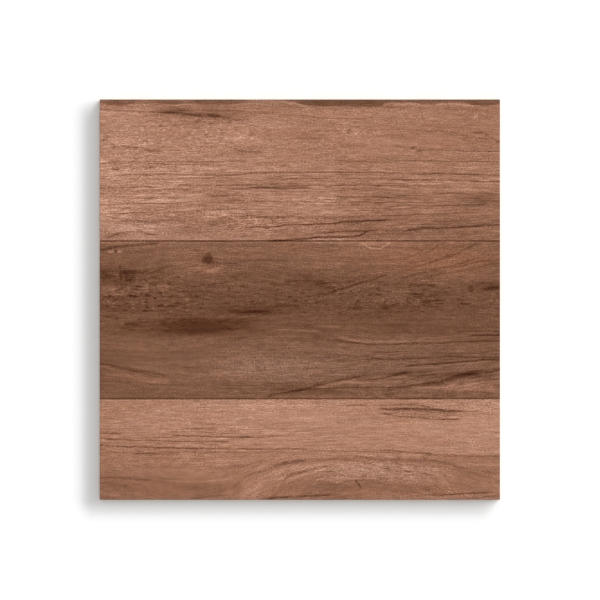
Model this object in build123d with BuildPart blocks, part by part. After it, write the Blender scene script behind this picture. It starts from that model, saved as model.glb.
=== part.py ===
"""A square glazed ceramic floor tile, pressed and fired in one piece, whose face copies
three timber boards laid side by side.

The face is up. The two straight joints between the printed boards are shallow pressed
grooves. The edge has a rounded arris at the face, an upright land that neighbouring tiles
are spaced from, and a draw-in at the back. The back carries a grid of raised ribs round
square pockets, which key into the adhesive bed.

Millimetres. The origin is the centre of the back, on the plane of the rib tops, with +Z
towards the face and +X along the boards.
"""

from build123d import *
import os

# Overall size of the fired tile
tile_side = 450.0
tile_thickness = 8.0

# Edge profile, from the face down
arris_radius = 0.6
corner_radius = 1.0
back_inset = 0.6
back_draw_height = 2.0

# Boards that the face copies: the lowest is cut off by the tile's edge, the middle one is whole
lower_board_width = 113.5
middle_board_width = 178.0
joint_width = 1.8
joint_depth = 0.5

# Keying grid on the back
pocket_side = 24.0
rib_width = 4.0
pocket_depth = 0.7
pocket_draft = 30.0
least_back_border = 10.0

lower_joint_y = lower_board_width - tile_side / 2
upper_joint_y = lower_joint_y + middle_board_width
pocket_pitch = pocket_side + rib_width
back_side = tile_side - 2 * back_inset
pockets_per_row = int((back_side - 2 * least_back_border + rib_width) // pocket_pitch)

with BuildPart() as tile:
    # Pressed blank with upright corners eased to corner_radius
    with BuildSketch():
        RectangleRounded(tile_side, tile_side, corner_radius)
    extrude(amount=tile_thickness)

    # Draw-in at the back, then the glazed arris round the face
    back = tile.faces().sort_by(Axis.Z)[0]
    chamfer(back.edges(), length=back_inset, length2=back_draw_height, reference=back)
    face = tile.faces().sort_by(Axis.Z)[-1]
    fillet(face.edges(), radius=arris_radius)

    # Joints between the boards, cut right across the face and through the arris
    with BuildSketch(Plane.YZ):
        with Locations((lower_joint_y, tile_thickness), (upper_joint_y, tile_thickness)):
            Polygon(
                (-joint_width / 2, 0),
                (0, -joint_depth),
                (joint_width / 2, 0),
                align=None,
            )
    extrude(amount=tile_side / 2, both=True, mode=Mode.SUBTRACT)

    # Square pockets in the back, drafted so that the ribs between them widen to the body
    with BuildSketch():
        with GridLocations(pocket_pitch, pocket_pitch, pockets_per_row, pockets_per_row):
            Rectangle(pocket_side, pocket_side)
    extrude(amount=pocket_depth, taper=pocket_draft, mode=Mode.SUBTRACT)

tile.part.label = "tile"

os.makedirs("parts", exist_ok=True)
export_step(tile.part, "parts/tile.step")
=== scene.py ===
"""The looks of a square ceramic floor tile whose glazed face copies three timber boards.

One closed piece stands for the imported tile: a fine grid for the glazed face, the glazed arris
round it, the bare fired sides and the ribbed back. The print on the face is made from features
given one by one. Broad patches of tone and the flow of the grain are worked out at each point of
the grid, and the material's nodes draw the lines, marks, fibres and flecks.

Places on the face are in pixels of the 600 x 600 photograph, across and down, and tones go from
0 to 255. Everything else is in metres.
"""

import math
from types import SimpleNamespace

import bpy
import numpy as np
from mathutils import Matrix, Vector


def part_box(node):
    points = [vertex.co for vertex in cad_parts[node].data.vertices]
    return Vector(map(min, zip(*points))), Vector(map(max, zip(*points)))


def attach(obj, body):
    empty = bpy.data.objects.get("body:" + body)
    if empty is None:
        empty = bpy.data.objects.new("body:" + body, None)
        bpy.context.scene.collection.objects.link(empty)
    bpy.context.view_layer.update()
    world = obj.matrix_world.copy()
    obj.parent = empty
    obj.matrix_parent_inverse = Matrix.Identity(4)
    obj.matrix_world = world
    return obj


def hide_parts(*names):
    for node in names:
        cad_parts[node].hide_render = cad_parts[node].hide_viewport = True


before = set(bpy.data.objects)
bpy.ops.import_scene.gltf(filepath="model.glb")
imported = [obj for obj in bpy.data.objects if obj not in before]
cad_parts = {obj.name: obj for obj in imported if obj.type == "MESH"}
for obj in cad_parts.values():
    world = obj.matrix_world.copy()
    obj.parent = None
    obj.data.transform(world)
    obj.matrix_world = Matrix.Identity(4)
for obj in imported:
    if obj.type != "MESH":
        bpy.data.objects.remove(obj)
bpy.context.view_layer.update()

# Where the face lies in the photograph, in pixels
photo_side = 600.0
print_left = 99.62
print_top = 99.38
print_side = 400.46
print_right = print_left + print_side
middle_across = print_left + print_side / 2
middle_down = print_top + print_side / 2

# Overall sizes, which come from the imported tile
MM = 0.001
tile_low, tile_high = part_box("tile")
tile_side = tile_high.x - tile_low.x
face_height = tile_high.z
metres_per_pixel = tile_side / print_side

# Edge profile, joints and back, as the solid has them
arris_radius = 0.6 * MM
corner_radius = 1.0 * MM
back_inset = 0.6 * MM
back_draw_height = 2.0 * MM
lower_board_width = 113.5 * MM
middle_board_width = 178.0 * MM
joint_width = 1.8 * MM
joint_depth = 0.5 * MM
lower_joint_y = tile_low.y + lower_board_width
upper_joint_y = lower_joint_y + middle_board_width
pocket_side = 24.0 * MM
rib_width = 4.0 * MM
pocket_depth = 0.7 * MM
pocket_draft = math.radians(30.0)
pockets_per_row = 15

# The mesh: its grid is coarse along the grain and fine across it, and rings go down the sides
column_step = 3.2 * MM
row_step = 0.86 * MM
arris_turns = (22.5, 45.0, 67.5, 90.0)
glazed_strip = 1.5 * MM
land_middle = 0.56 * face_height
crease_angle = math.radians(40.0)
# Where the face, with its sides folded out, and the back lie on the bake's map: (corner, size)
face_on_map = ((0.005, 0.005), (0.68, 0.99))
back_on_map = ((0.70, 0.005), (0.295, 0.495))

# Relief: pressed lines, fibres and slow waves on the face, and the rough fired sides
line_relief = 0.10 * MM
pressed_reach = 1.2
full_depth_darkness = 50.0
deepest_line = 1.2
fibre_relief = 0.012 * MM
short_fibre_share = 0.6
wave_relief = 0.02 * MM
side_roughness = 0.03 * MM

# Noises worked out at the mesh's points: (length and height of a lump in pixels, seed)
mesh_noises = {
    "patches across": (22, 9, 11),
    "patches down": (26, 8, 12),
    "long fibres": (30, 2.1, 21),
    "short fibres": (12, 1.1, 22),
    "waves": (70, 14, 23),
    "sides": (9, 1, 31),
}
# How far the outlines of patches waver, across and down
patch_wander = (7.0, 1.6)

# Noises of the materials: (length and height of a lump, detail, seed), in pixels for the print
node_noises = {
    "wander down": (7, 3, 2, 1),
    "wander across": (5, 3, 2, 2),
    "breaks": (5, 1.6, 2, 3),
    "fibres": (12, 1, 1, 4),
    "middling clouds": (42, 3.2, 1, 5),
    "broad clouds": (120, 8, 1, 6),
    "small clouds": (8, 3.6, 3, 7),
    "specks": (1.8, 1, 1, 8),
    "rings": (150, 1.9, 1, 9),
    "hue": (38, 9, 2, 10),
    "end of the glaze": (9, 9, 3, 12),
    "liveliness": (50, 14, 2, 13),
    "dark streaks": (60, 1.5, 1, 14),
    "pale streaks": (34, 1.7, 1, 15),
    "dark ticks": (7.5, 2.4, 2, 16),
    "pale ticks": (5, 1.7, 2, 17),
    "strokes across": (1.3, 5, 1, 18),
    "curls": (9, 5.5, 1, 19),
    "pieces of curls": (6, 4, 1, 20),
    "clay clouds": (30 * MM, 30 * MM, 3, 41),
    "grit": (0.7 * MM, 0.7 * MM, 2, 42),
    "kiln wash": (11 * MM, 11 * MM, 4, 51),
}
# What some of them change where they are high: (where it starts, where it is whole, change)
shown_where_high = {
    "rings": (0.10, 0.24, 9),
    "dark streaks": (0.05, 0.22, 25),
    "pale streaks": (0.05, 0.22, 20),
    "dark ticks": (0.06, 0.17, 30),
    "pale ticks": (0.06, 0.18, 26),
    "pieces of curls": (0.02, 0.10, 24),
    "kiln wash": (-0.03, 0.14, 0.8),
}

# How much the others change the tone
cloud_gains = {"middling clouds": 26, "broad clouds": 22, "small clouds": 30}
fibre_gain = 54
speck_gain = 93
speck_gain_in_streaks = -26
liveliness_gain = 1.6
stroke_gain = 46
curl_edges = (0.03, 0.09)
# Strength of the fine grain, which dark wood quietens: (per tone, at tone 0)
grain_contrast = (0.0092, -0.13)

# The boards from the top down: their plain tones, and where they meet in the solid
board_tones = (128.7, 90.0, 134.0)
joint_downs = [print_top + (tile_high.y - y) / metres_per_pixel for y in (upper_joint_y, lower_joint_y)]
# The joints as they are printed, from the top down: (down, darkness)
printed_joints = [(241.15, 33), (399.2, 40)]
joint_blur = (0.2, 0.75)
joint_wander = 0.5
joint_breaks = 0.8

# How lines and marks waver and break up, and how wide and dark they are drawn
wander_down = 1.5
wander_across = 6.0
line_breaks = 0.75
line_reach = 0.9
line_gain = 1.1
least_band = 20.0
band_for_rise = 2.5
mark_reach = 1.6

# The bark along the top edge, with its pale rim
bark_reach = 20.0
bark_darkness = 42.5
bark_blur = (-0.7, 1.1)
bark_raggedness = 3.0
bark_rim_tone = 17.0
bark_rim_place = 1.5
bark_rim_half = 1.6

# Colour of the print at each tone, and how it turns redder
print_colours = {
    35: (64, 29, 5),
    64: (93, 58, 37),
    93: (124, 86, 65),
    122: (159, 113, 89),
    150: (188, 140, 117),
    180: (217, 170, 145),
}
redder = (0.05, -0.03, -0.12)
hue_gain = 1.2

# The glaze: its sheen, and how it ends on the side above a thread of white engobe
glaze_sheen = 0.0065
glaze_specular = 0.15
satin = 0.52
satin_in_clouds = 0.20
satin_in_lines = 0.002
raised_fibres = 0.6
raised_specks = 0.5
glaze_bump = (0.05 * MM, 0.6)
glaze_reach = 0.95 * MM
glaze_unevenness = 1.2 * MM
engobe_start = (-0.05 * MM, 0.08 * MM)
engobe_end = (0.20 * MM, 0.36 * MM)
bare_by = 0.30 * MM
engobe_colour = (222, 214, 203)

# The fired clay: its colour from dark to pale, its grit with specks of iron, and the ribs' kiln wash
clay_colours = {
    0.15: (150, 128, 106),
    0.40: (180, 160, 138),
    0.60: (193, 175, 153),
    0.85: (208, 193, 175),
}
clay_level = 0.5
clay_cloud_gain = 0.7
grit_gain = 0.9
grit_bump = (0.15 * MM, 0.5)
iron_specks = (-0.26, -0.19, 0.7)
iron_colour = (104, 74, 54)
fired_roughness = 0.88
rib_top = (0.05 * MM, 0.35 * MM)
wash_colour = (228, 222, 212)

# Grain flow: lines right across the face that the fibres follow, from the top down
grain_flow = [
    [(100, 96), (500, 96)],
    [(100, 109), (150, 111.5), (232, 112), (300, 115.5), (345, 118.8), (500, 119)],
    [(100, 134), (300, 138), (410, 130), (460, 134), (500, 139)],
    [(100, 148), (300, 149), (385, 146), (420, 150), (500, 151)],
    [(100, 163), (220, 161.6), (400, 161.3), (500, 162.5)],
    [(100, 176), (210, 175), (300, 172.4), (400, 173.6), (500, 175.4)],
    [(100, 188), (215, 186), (300, 185.5), (400, 185.7), (500, 188.3)],
    [(100, 205), (165, 203.7), (200, 201.5), (300, 202), (400, 204), (500, 205)],
    [(100, 213), (200, 212), (260, 213), (340, 216), (430, 214.6), (500, 212)],
    [(100, 226), (160, 229), (245, 227), (300, 224.6), (390, 219.7), (500, 219)],
    [(100, 236), (160, 236), (295, 235), (370, 231), (420, 228.5), (500, 225)],
    [(100, 240.5), (300, 240.2), (500, 240.5)],
    [(100, 241.5), (300, 241.5), (500, 241.5)],
    [(100, 250), (120, 246.5), (156, 244.5), (300, 247), (380, 249), (440, 250.5), (500, 243)],
    [(100, 262), (200, 258), (300, 260), (400, 264), (440, 262), (500, 250)],
    [(100, 275), (148, 272.5), (171, 266), (240, 264), (339, 279), (400, 272), (500, 259)],
    [(100, 288), (220, 284), (320, 291), (340, 289), (386, 277.5), (440, 275), (500, 268)],
    [(100, 297), (200, 296), (330, 295), (420, 290), (500, 287)],
    [(100, 308), (232, 309.5), (320, 306), (420, 303), (500, 303)],
    [(100, 324), (200, 325), (320, 322), (500, 320)],
    [(100, 335), (300, 330), (335, 334), (370, 337), (500, 335)],
    [(100, 343), (150, 346), (308, 338), (342, 341.5), (390, 344.4), (440, 343), (500, 341)],
    [(100, 356), (150, 358), (220, 356), (368, 359), (440, 357.5), (500, 357.5)],
    [(100, 364), (128, 369.6), (170, 375.6), (300, 372), (407, 365.6), (500, 359.8)],
    [(100, 381), (175, 385), (230, 383.4), (300, 386), (345, 380), (400, 374), (500, 368)],
    [(100, 390), (200, 391), (277, 393.5), (322, 388.5), (395, 387.2), (440, 382), (500, 374)],
    [(100, 397.5), (300, 397.5), (500, 397.5)],
    [(100, 400), (500, 400)],
    [(100, 415), (300, 414), (381, 409), (430, 409.4), (500, 412)],
    [(100, 432), (180, 432), (270, 434), (380, 429), (500, 430)],
    [(100, 445.3), (174, 448), (270, 449.3), (380, 447), (430, 449), (500, 450)],
    [(100, 457), (229, 459), (262, 456), (300, 452), (380, 453), (430, 456), (500, 459)],
    [(100, 470), (229, 472), (255, 465), (275, 459), (300, 457), (370, 459), (420, 461), (500, 474)],
    [(100, 479), (230, 486), (243, 478), (268, 468.5), (293, 461.5), (345, 462), (430, 467), (500, 485)],
    [(100, 492), (240, 501), (256, 489), (281, 478), (304, 469), (340, 468), (420, 474), (500, 494)],
    [(100, 504), (250, 520), (275, 498), (291, 484), (310, 478), (355, 479), (415, 484), (500, 504)],
    [(100, 516), (250, 540), (300, 510), (355, 494), (415, 500), (500, 516)],
]

# Broad patches of tone: (across, down, half length, half height, change of tone)
tone_patches = {
    # Upper board
    "under the bark's left end": (118, 104, 14, 3, -12),
    "dark under the bark, middle": (380, 107, 13, 2, -9),
    "under the bark, middle": (300, 107, 110, 3.5, -9),
    "dark under the bark, left": (222, 107.5, 24, 3, -12),
    "dull under the bark": (445, 108, 60, 4, -8),
    "pale over the stain": (140, 110, 12, 2, 9),
    "stain under the bark, left": (172, 110, 17, 5, -26),
    "stain under the bark, right": (206, 112, 22, 6, -20),
    "stain, lower right": (228, 116.5, 17, 4, -12),
    "pale flecks, top": (340, 117, 22, 5, 6),
    "brown below the stain": (180, 118, 20, 4, -7),
    "upper board, pale corner": (115, 118, 34, 9, 8),
    "below the stain": (205, 120, 26, 6, -8),
    "pale over the middle": (268, 124, 26, 5, 9),
    "duller, top right": (470, 126, 44, 18, -7),
    "brown by the left edge": (102, 132, 8, 9, -9),
    "brown by the smudge, top": (300, 132, 13, 3.4, -9),
    "pale curls": (240, 137, 16, 5, 8),
    "smudge left of the knots": (312, 137, 20, 5, -9),
    "pale in the curls": (218, 139, 20, 5, 8),
    "dull below the right knot": (476, 141, 26, 6, -7),
    "pale over the second knot": (386, 142, 30, 4, 9),
    "pale, upper left": (116, 142, 20, 5, 12),
    "pale under the smudge": (264, 143, 18, 4, 8),
    "brown under the left smudge": (122, 148.5, 30, 2.6, -8),
    "smudge at the left": (150, 150, 15, 4, -10),
    "second smudge": (250, 151, 14, 4, -15),
    "pale over the first ring": (252, 156, 36, 3, 9),
    "pale over the rings": (280, 157, 36, 4, 9),
    "brown over the first ring": (366, 158.8, 46, 2.6, -11),
    "brown over the first ring, right": (460, 160.5, 42, 2.6, -7),
    "pale at the first ring, left": (107, 161, 9, 2, 22),
    "pale between rings, left": (276, 165.5, 20, 3.4, 10),
    "pale in the rings, middle": (268, 168, 24, 4, 7),
    "pale in the rings, left": (196, 169, 66, 4, 7),
    "brown by the short dash": (114, 170.5, 18, 2, -8),
    "pale by the edge at the rings": (108, 174, 16, 5, 10),
    "pale under the ring, right": (404, 175.8, 18, 2, 15),
    "pale under the second ring": (410, 176.6, 26, 1.8, 12),
    "pale between rings": (316, 177.5, 28, 2, 7),
    "brown between rings": (218, 179.8, 24, 2, -8),
    "upper board, pale left": (90, 180, 150, 90, 11),
    "pale over the edge stain": (488, 182.5, 22, 2, 14),
    "brown in the third ring": (326, 182.8, 16, 2, -11),
    "pale over the fourth ring": (266, 185, 20, 2, 12),
    "dark between the rings": (250, 186, 40, 4, -8),
    "brown under the eye": (206, 188.4, 12, 2, -9),
    "brown by the fourth ring": (386, 188.5, 22, 2, -10),
    "pale between rings, right": (470, 188.8, 34, 1.8, 9),
    "pale by the fourth ring": (472, 188.8, 34, 2, 9),
    "brown under the ring": (388, 191, 22, 3.6, -11),
    "brown by the eye": (188, 191.2, 15, 2.4, -9),
    "pale by the fifth ring": (232, 191.6, 22, 2, 12),
    "brown under the fifth ring": (278, 191.8, 11, 2, -10),
    "brown at the left edge": (118, 194.5, 30, 2.6, -11),
    "brown smudge": (221, 195, 17, 6, -17),
    "brown band, right": (420, 196, 80, 4.5, -13),
    "dark stain at the right edge": (484, 198, 24, 6, -24),
    "pale band under the rings": (150, 198, 55, 6, 8),
    "pale patch, middle": (300, 200, 45, 11, 9),
    "brown past the pale streak": (226, 200.6, 13, 2.6, -12),
    "pale streak, left": (178, 200.6, 24, 1.8, 11),
    "brown at the edge": (108, 201, 9, 2, -11),
    "pale in the middle": (316, 201.5, 18, 2.6, 12),
    "edge stain, foot": (484, 203, 24, 3, -14),
    "pale under the seventh ring": (144, 203.5, 36, 2, 10),
    "brown under the smudge, right": (246, 203.6, 17, 2, -11),
    "brown by the smudge, foot": (196, 205, 18, 4, -8),
    "edge stain, tail": (462, 206, 24, 3, -8),
    "brown under the pale streak": (184, 206.4, 20, 2.2, -12),
    "pale over the crack": (320, 208, 30, 6, 8),
    "brown under the brown smudge, foot": (228, 208.6, 12, 3, -10),
    "pale by the edge, lower": (104, 209, 26, 8, 8),
    "pale by the left edge": (108, 211, 11, 2.6, 14),
    "pale over the second crack": (440, 212.6, 46, 2, 9),
    "pale streak, middle": (232, 212.8, 28, 1.8, 13),
    "pale over the first crack": (334, 215.4, 20, 2.4, 12),
    "pale run, left": (202, 215.5, 16, 2, 13),
    "brown band over the crack": (272, 216, 36, 3.5, -9),
    "brown over the wave": (150, 216.5, 40, 4.6, -8),
    "pale by the edge over the wave": (114, 218.5, 13, 2, 12),
    "brown left of the band": (228, 218.6, 12, 3, -8),
    "pale under the band": (255, 218.6, 11, 2, 16),
    "brown by the crack": (284, 218.8, 12, 2, -11),
    "dark over the crack, left": (215, 222, 36, 4, -9),
    "brown by the first crack": (345, 224, 36, 8, -10),
    "pale under the first crack": (344, 225, 30, 2.2, 9),
    "upper board, darker lower right": (450, 226, 120, 22, -22),
    "pale wave": (140, 227, 22, 4, 9),
    "brown at the foot, left": (196, 229, 34, 7, -11),
    "dark by the crack's end": (362, 230, 14, 6, -9),
    "brown by the first crack, left": (230, 230.5, 10, 2, -13),
    "brown at the edge, foot": (108, 233.6, 9, 2.4, -9),
    "brown at the foot, middle": (185, 234, 24, 7, -7),
    "dark foot at the right": (474, 234, 36, 5, -13),
    "brown round the wave": (126, 235, 36, 3, -9),
    "brown at the foot, right": (305, 236, 28, 5, -16),
    "dark at the joint, middle": (252, 236, 9, 2.4, -9),
    "dark by the wedge": (371, 236, 13, 3, -8),
    "pale in the wedge": (322, 236, 22, 1.8, 10),
    "pale over the last crack": (312, 236.4, 30, 2.4, 9),
    "brown below the pale wave": (120, 237, 26, 2.5, -9),
    "pale at the foot": (141, 237, 13, 3, 10),
    # Middle board
    "pale at the upper joint, left": (130, 243.5, 36, 2.4, 11),
    "pale at the upper joint, right": (420, 243.5, 74, 2.4, 12),
    "pale spot at the joint": (366, 245, 13, 4, 12),
    "pale under the pale arc": (366, 246, 22, 3, 8),
    "middle board, paler top": (300, 250, 260, 16, 14),
    "round the dark knot": (206, 259, 14, 6, -8),
    "middle board, paler top right": (440, 262, 70, 14, 9),
    "pale haze": (325, 265, 24, 6, 6),
    "pale haze, right": (328, 266, 22, 4, 7),
    "pale under the knot": (196, 268, 26, 6, 14),
    "pale in the fan": (454, 269.5, 18, 3, 11),
    "pale below the fan": (460, 271, 18, 3, 9),
    "old stain at the left": (112, 275, 36, 9, -14),
    "brown smear, upper middle": (262, 276, 32, 3.5, -9),
    "old stain, second block": (106, 276, 9, 6, -9),
    "brown smear, middle": (290, 279, 46, 8, -6),
    "pale by the slant": (478, 279, 22, 5, 7),
    "brown over the commas": (396, 282.5, 17, 2.6, -10),
    "brown by the dark patch": (302, 284, 22, 2, -8),
    "dark patch at the right edge": (487, 286, 18, 4, -8),
    "dark patch, middle": (324, 286, 14, 6, -8),
    "pale fleck in the middle": (242, 286, 9, 2, 9),
    "pale block": (164, 288, 9, 2.6, 9),
    "pale flecks, left": (115, 289, 14, 4, 2),
    "brown under the block": (198, 291, 14, 3, -7),
    "pale by the diagonal": (334, 294.5, 18, 2.2, 9),
    "dark patches, right": (425, 295, 22, 8, -8),
    "brown under the pale block": (194, 296, 15, 2.8, -10),
    "under the line of dark blots": (124, 298, 26, 2, -8),
    "middle board, dark centre": (250, 300, 260, 16, -6),
    "dark past the blots": (452, 302, 13, 2.6, -10),
    "dark left of the blots": (316, 303.5, 24, 2.2, -8),
    "small blot, left": (117, 306, 15, 4, -9),
    "dull under the weathered band": (200, 307, 120, 6, -5),
    "small dark patches": (385, 308, 34, 4, -5),
    "dark band over the smear": (255, 309, 26, 5, -11),
    "dull under the weathered band, right": (300, 311, 80, 5, -6),
    "dull under the blots": (466, 312.5, 30, 2.4, -9),
    "small blot by the left edge": (109, 317, 12, 3, -11),
    "smear, upper right end": (240, 321.4, 28, 2.6, -10),
    "smear, right end": (306, 323, 28, 8, -6),
    "dull middle, right": (400, 325, 120, 12, -7),
    "big smear": (200, 325.5, 46, 8.6, -22),
    "smear, core": (188, 326, 26, 7, -4),
    "big smear, left end": (140, 328, 32, 5.6, -13),
    "smear, lower right end": (256, 329, 16, 2.4, -8),
    "smear, foot": (190, 333, 64, 2.6, -10),
    "pale over the long line, right": (372, 340.4, 38, 2.6, 7),
    "pale over the left foot": (140, 345, 32, 6, 8),
    "pale by the right edge": (454, 346.5, 20, 3, 8),
    "dull over the hatched patch": (268, 349, 26, 3.6, -10),
    "dull at the right, upper": (466, 352.4, 44, 2.8, -10),
    "dull right of the hatched patch": (310, 356, 16, 3.4, -9),
    "dark by the left edge": (110, 357, 20, 10, -8),
    "brown over the line, right": (440, 358, 15, 2, -10),
    "middle board, paler foot": (300, 358, 300, 26, 8),
    "pale under the slow line": (464, 360.6, 18, 1.8, 8),
    "dull left foot": (164, 361.5, 32, 4, -6),
    "hatched pale patch": (258, 364, 46, 16, 13),
    "pale tongue, left": (150, 364, 18, 12, 1),
    "pale in the hatched patch": (298, 365, 12, 4, 9),
    "hatched pale patch, right end": (312, 366, 22, 10, 3),
    "pale over the thick crack, right": (476, 368, 20, 2, 10),
    "dark over the thick crack": (400, 371, 30, 4, -4),
    "pale over the second limb": (330, 371, 22, 3, 6),
    "pale foot, left": (200, 373, 66, 3, 6),
    "pale foot, middle": (276, 373, 50, 5, 8),
    "dark thick crack": (468, 376, 26, 4.4, -26),
    "dark in the thick crack": (460, 376.6, 14, 4, -5),
    "brown at the foot of the crack": (428, 377, 18, 5, -8),
    "pale past the second limb": (414, 378, 14, 2.8, 10),
    "pale under the second limb": (388, 382.5, 16, 2.6, 14),
    "pale left foot": (186, 382.6, 52, 3, 9),
    "pale over the third limb": (388, 383, 18, 2.4, 11),
    "pale foot at the right": (470, 384, 45, 9, 17),
    "brown over the third limb": (442, 384.8, 11, 2, -17),
    "pale foot under the limbs": (350, 388, 26, 2, 9),
    "pale under the thick crack": (476, 388.5, 24, 3.6, 11),
    "dark line, middle": (300, 389, 32, 5, -12),
    "pale foot, right": (480, 390.6, 24, 3.4, 10),
    "middle board, dark foot": (190, 391, 110, 9, 4),
    "pale by the tail": (290, 391, 10, 2, 11),
    # Painted highlight: a pale band along the lower joint's groove lightens the shade on its upper wall
    "painted highlight above the lower groove": (300, 396.5, 300, 1.6, 7),
    "pale at the second joint, right": (404, 396.8, 34, 2, 8),
    "dull at the second joint, left": (128, 397, 60, 3, -5),
    # Lower board
    "dull at the lower board's corner": (112, 402, 24, 2, -7),
    "lower board, pale top right": (498, 403, 22, 6, 9),
    "pale over the streaks": (418, 403, 18, 3, 10),
    "pale over the first streak": (402, 407.4, 26, 2, 10),
    "pale under the joint, middle": (222, 407.4, 50, 2.4, 9),
    "pale under the second joint": (262, 407.5, 34, 3, 8),
    "streak group": (414, 409.5, 32, 6, -22),
    "duller under the second joint": (200, 412, 28, 4, -7),
    "brown past the streaks": (436, 413, 16, 2.6, -9),
    "between two streaks": (396, 413.6, 20, 2.4, 11),
    "dark past the streaks": (446, 414, 12, 3, -9),
    "duller top left": (118, 414, 40, 6, -9),
    "lower board, pale top": (300, 415, 150, 18, 6),
    "under the streaks, right": (452, 415, 34, 3.5, -11),
    "brown under the streaks": (414, 416.8, 30, 2, -11),
    "pale in the middle, lower board": (322, 423.6, 28, 4, 9),
    "lower board, pale right": (480, 425, 50, 30, 9),
    "pale under the streaks": (410, 425.4, 30, 2, 9),
    "pale over the short ring": (180, 430, 50, 4, 9),
    "pale right of the short ring": (280, 434.6, 26, 3, 8),
    "lower board, duller left": (120, 436, 120, 10, -3),
    "pale over the long ring, left": (150, 438, 40, 3, 6),
    "pale over the long ring, right": (376, 439, 34, 3, 10),
    "pale over the long ring": (258, 443.4, 66, 2, 10),
    "brown by the tick": (356, 443.6, 12, 2, -13),
    "pale under the long ring, left": (116, 449, 26, 2, 8),
    "pale under the long ring": (300, 449.4, 70, 2, 11),
    "lower board, left shade": (110, 455, 130, 16, -11),
    "brown over the arch, right": (404, 456, 34, 2.6, -10),
    "pale left of the arch": (216, 458.4, 20, 2, 11),
    "shade at the right edge": (476, 459, 36, 4, -16),
    "crown's dark band": (330, 461.5, 30, 2.2, -9),
    "pale over the band at the left": (120, 463, 34, 3, 9),
    "right edge, upper": (492, 463, 14, 3, -8),
    "shade over the arch": (298, 463.5, 24, 2.6, -12),
    "shade over the arch, right": (414, 464, 32, 4.5, -15),
    "pale over the band": (176, 464.6, 26, 2, 11),
    "band at the left": (160, 466, 100, 3, -9),
    "pale arch, crown": (310, 466, 36, 5, 6),
    "dark in the outer arc": (284, 466.6, 14, 3, -9),
    "dark at the right of the arch": (466, 467, 40, 5, -10),
    "pale at the crown's left": (310, 468.4, 14, 3, 11),
    "pale in the crown, upper": (366, 469.6, 18, 2.6, 9),
    "left of the arch": (228, 472, 20, 4, -11),
    "brown on the limb": (256, 473, 20, 3, -9),
    "right edge, middle": (492, 474, 14, 4, -8),
    "right of the arch": (474, 474, 28, 6, -15),
    "pale limb": (273, 475, 13, 7, 8),
    "left foot, middle": (172, 476, 28, 9, -9),
    "pale in the crown": (352, 476, 22, 5, 12),
    "brown in the crown": (386, 477, 9, 2.4, -12),
    "pale on the limb": (280, 477.6, 9, 3, 9),
    "pale past the crown": (446, 480, 9, 3, 14),
    "left foot, darker": (116, 482, 46, 20, -11),
    "over the slanted mark": (368, 484, 16, 3.4, -9),
    "right foot": (480, 486, 40, 12, -14),
    "shade inside the arch": (318, 487, 46, 12, -30),
    "foot inside the arch, right": (408, 488, 30, 6, -9),
    "left of the arch's foot": (239, 488, 7, 9, -14),
    "shade at the arch's left": (205, 488, 34, 8, -18),
    "shade inside the arch, right": (400, 488, 60, 9, -16),
    "lower board, left foot": (110, 489, 120, 13, -20),
    "pale arch, left limb": (254, 491, 9, 9, 10),
    "foot, right of the middle": (418, 492, 18, 6, -11),
    "dark at the foot, left": (214, 496, 18, 3, -8),
    "dark foot inside the arch": (312, 496.6, 34, 3, -8),
    "pale foot of the limb": (250, 497, 11, 3, 8),
    "foot of the lower board": (300, 499.5, 400, 3.5, -13),
}

# Where the grain is drawn in long thin streaks: (across, down, half length, half height, share)
streaked_patches = {
    "rings, upper board": (300, 188, 300, 28, 1.25),
    "rings, upper board, right": (420, 204, 110, 20, 0.5),
    "foot, upper board": (300, 228, 300, 16, 0.4),
    "long lines, middle board": (420, 346, 120, 14, 0.8),
    "lines over the second joint": (400, 374, 130, 20, 1.2),
    "foot, middle board": (180, 385, 100, 12, 0.4),
    "rings, lower board, right": (440, 420, 110, 14, 0.25),
    "rings, lower board": (190, 436, 180, 16, 1.1),
    "arch": (330, 472, 120, 16, 0.5),
}

# Where the wood is weathered in small dark and pale ticks: (across, down, half length, half height, share)
weathered_patches = {
    "upper board, curls": (345, 132, 36, 16, 0.7),
    "upper board, top left": (180, 132, 100, 24, 0.9),
    "upper board, left": (130, 205, 70, 40, 0.5),
    "upper board, foot": (240, 228, 60, 14, 0.8),
    "middle board, fan": (440, 262, 90, 18, 0.4),
    "middle board, left": (135, 292, 66, 32, 1.15),
    "middle board, band": (300, 297, 300, 18, 1.1),
    "middle board, right": (390, 298, 80, 14, 0.6),
    "middle board, smear": (200, 325, 80, 14, 0.5),
    "lower board, arch": (392, 472, 66, 9, 1.1),
}

# Where the fine grain stands out more, or less: (across, down, half length, half height, change of share)
lively_patches = {
    "upper board, top": (180, 132, 60, 10, -0.2),
    "upper board, top right": (400, 140, 90, 14, -0.3),
    "upper board, over the rings": (190, 168, 110, 7, 0.25),
    "rings, upper board, left": (140, 190, 70, 34, 0.28),
    "rings, upper board": (300, 198, 300, 38, 0.52),
    "upper board, foot": (350, 224, 170, 11, 0.35),
    "middle board, upper part": (300, 282, 300, 34, 0.1),
    "middle board, weathered left": (125, 293, 50, 12, 0.3),
    "middle board, under the blots": (400, 322, 120, 9, -0.25),
    "middle board, smear": (200, 326, 80, 10, -0.8),
    "long line, middle board": (400, 343, 70, 4, 0.3),
    "middle board, under the long line": (400, 350, 100, 8, -0.1),
    "middle board, smooth left foot": (160, 356, 70, 26, -0.5),
    "middle board, right foot": (410, 376, 130, 26, 0.55),
    "streaks, lower board": (430, 412, 50, 10, 0.5),
    "lower board, plain top": (260, 419, 150, 9, -0.3),
    "lower board, plain right": (400, 436, 90, 12, -0.35),
    "lower board, rings": (180, 440, 110, 18, 0.2),
    "lower board, right of the arch": (480, 464, 40, 20, -0.3),
    "lower board, crown": (350, 470, 60, 9, 0.25),
    "lower board, left of the arch": (190, 474, 80, 12, -0.35),
    "lower board, smooth foot": (170, 486, 80, 18, -0.5),
    "lower board, inside the arch": (330, 488, 60, 9, -0.45),
}

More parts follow.
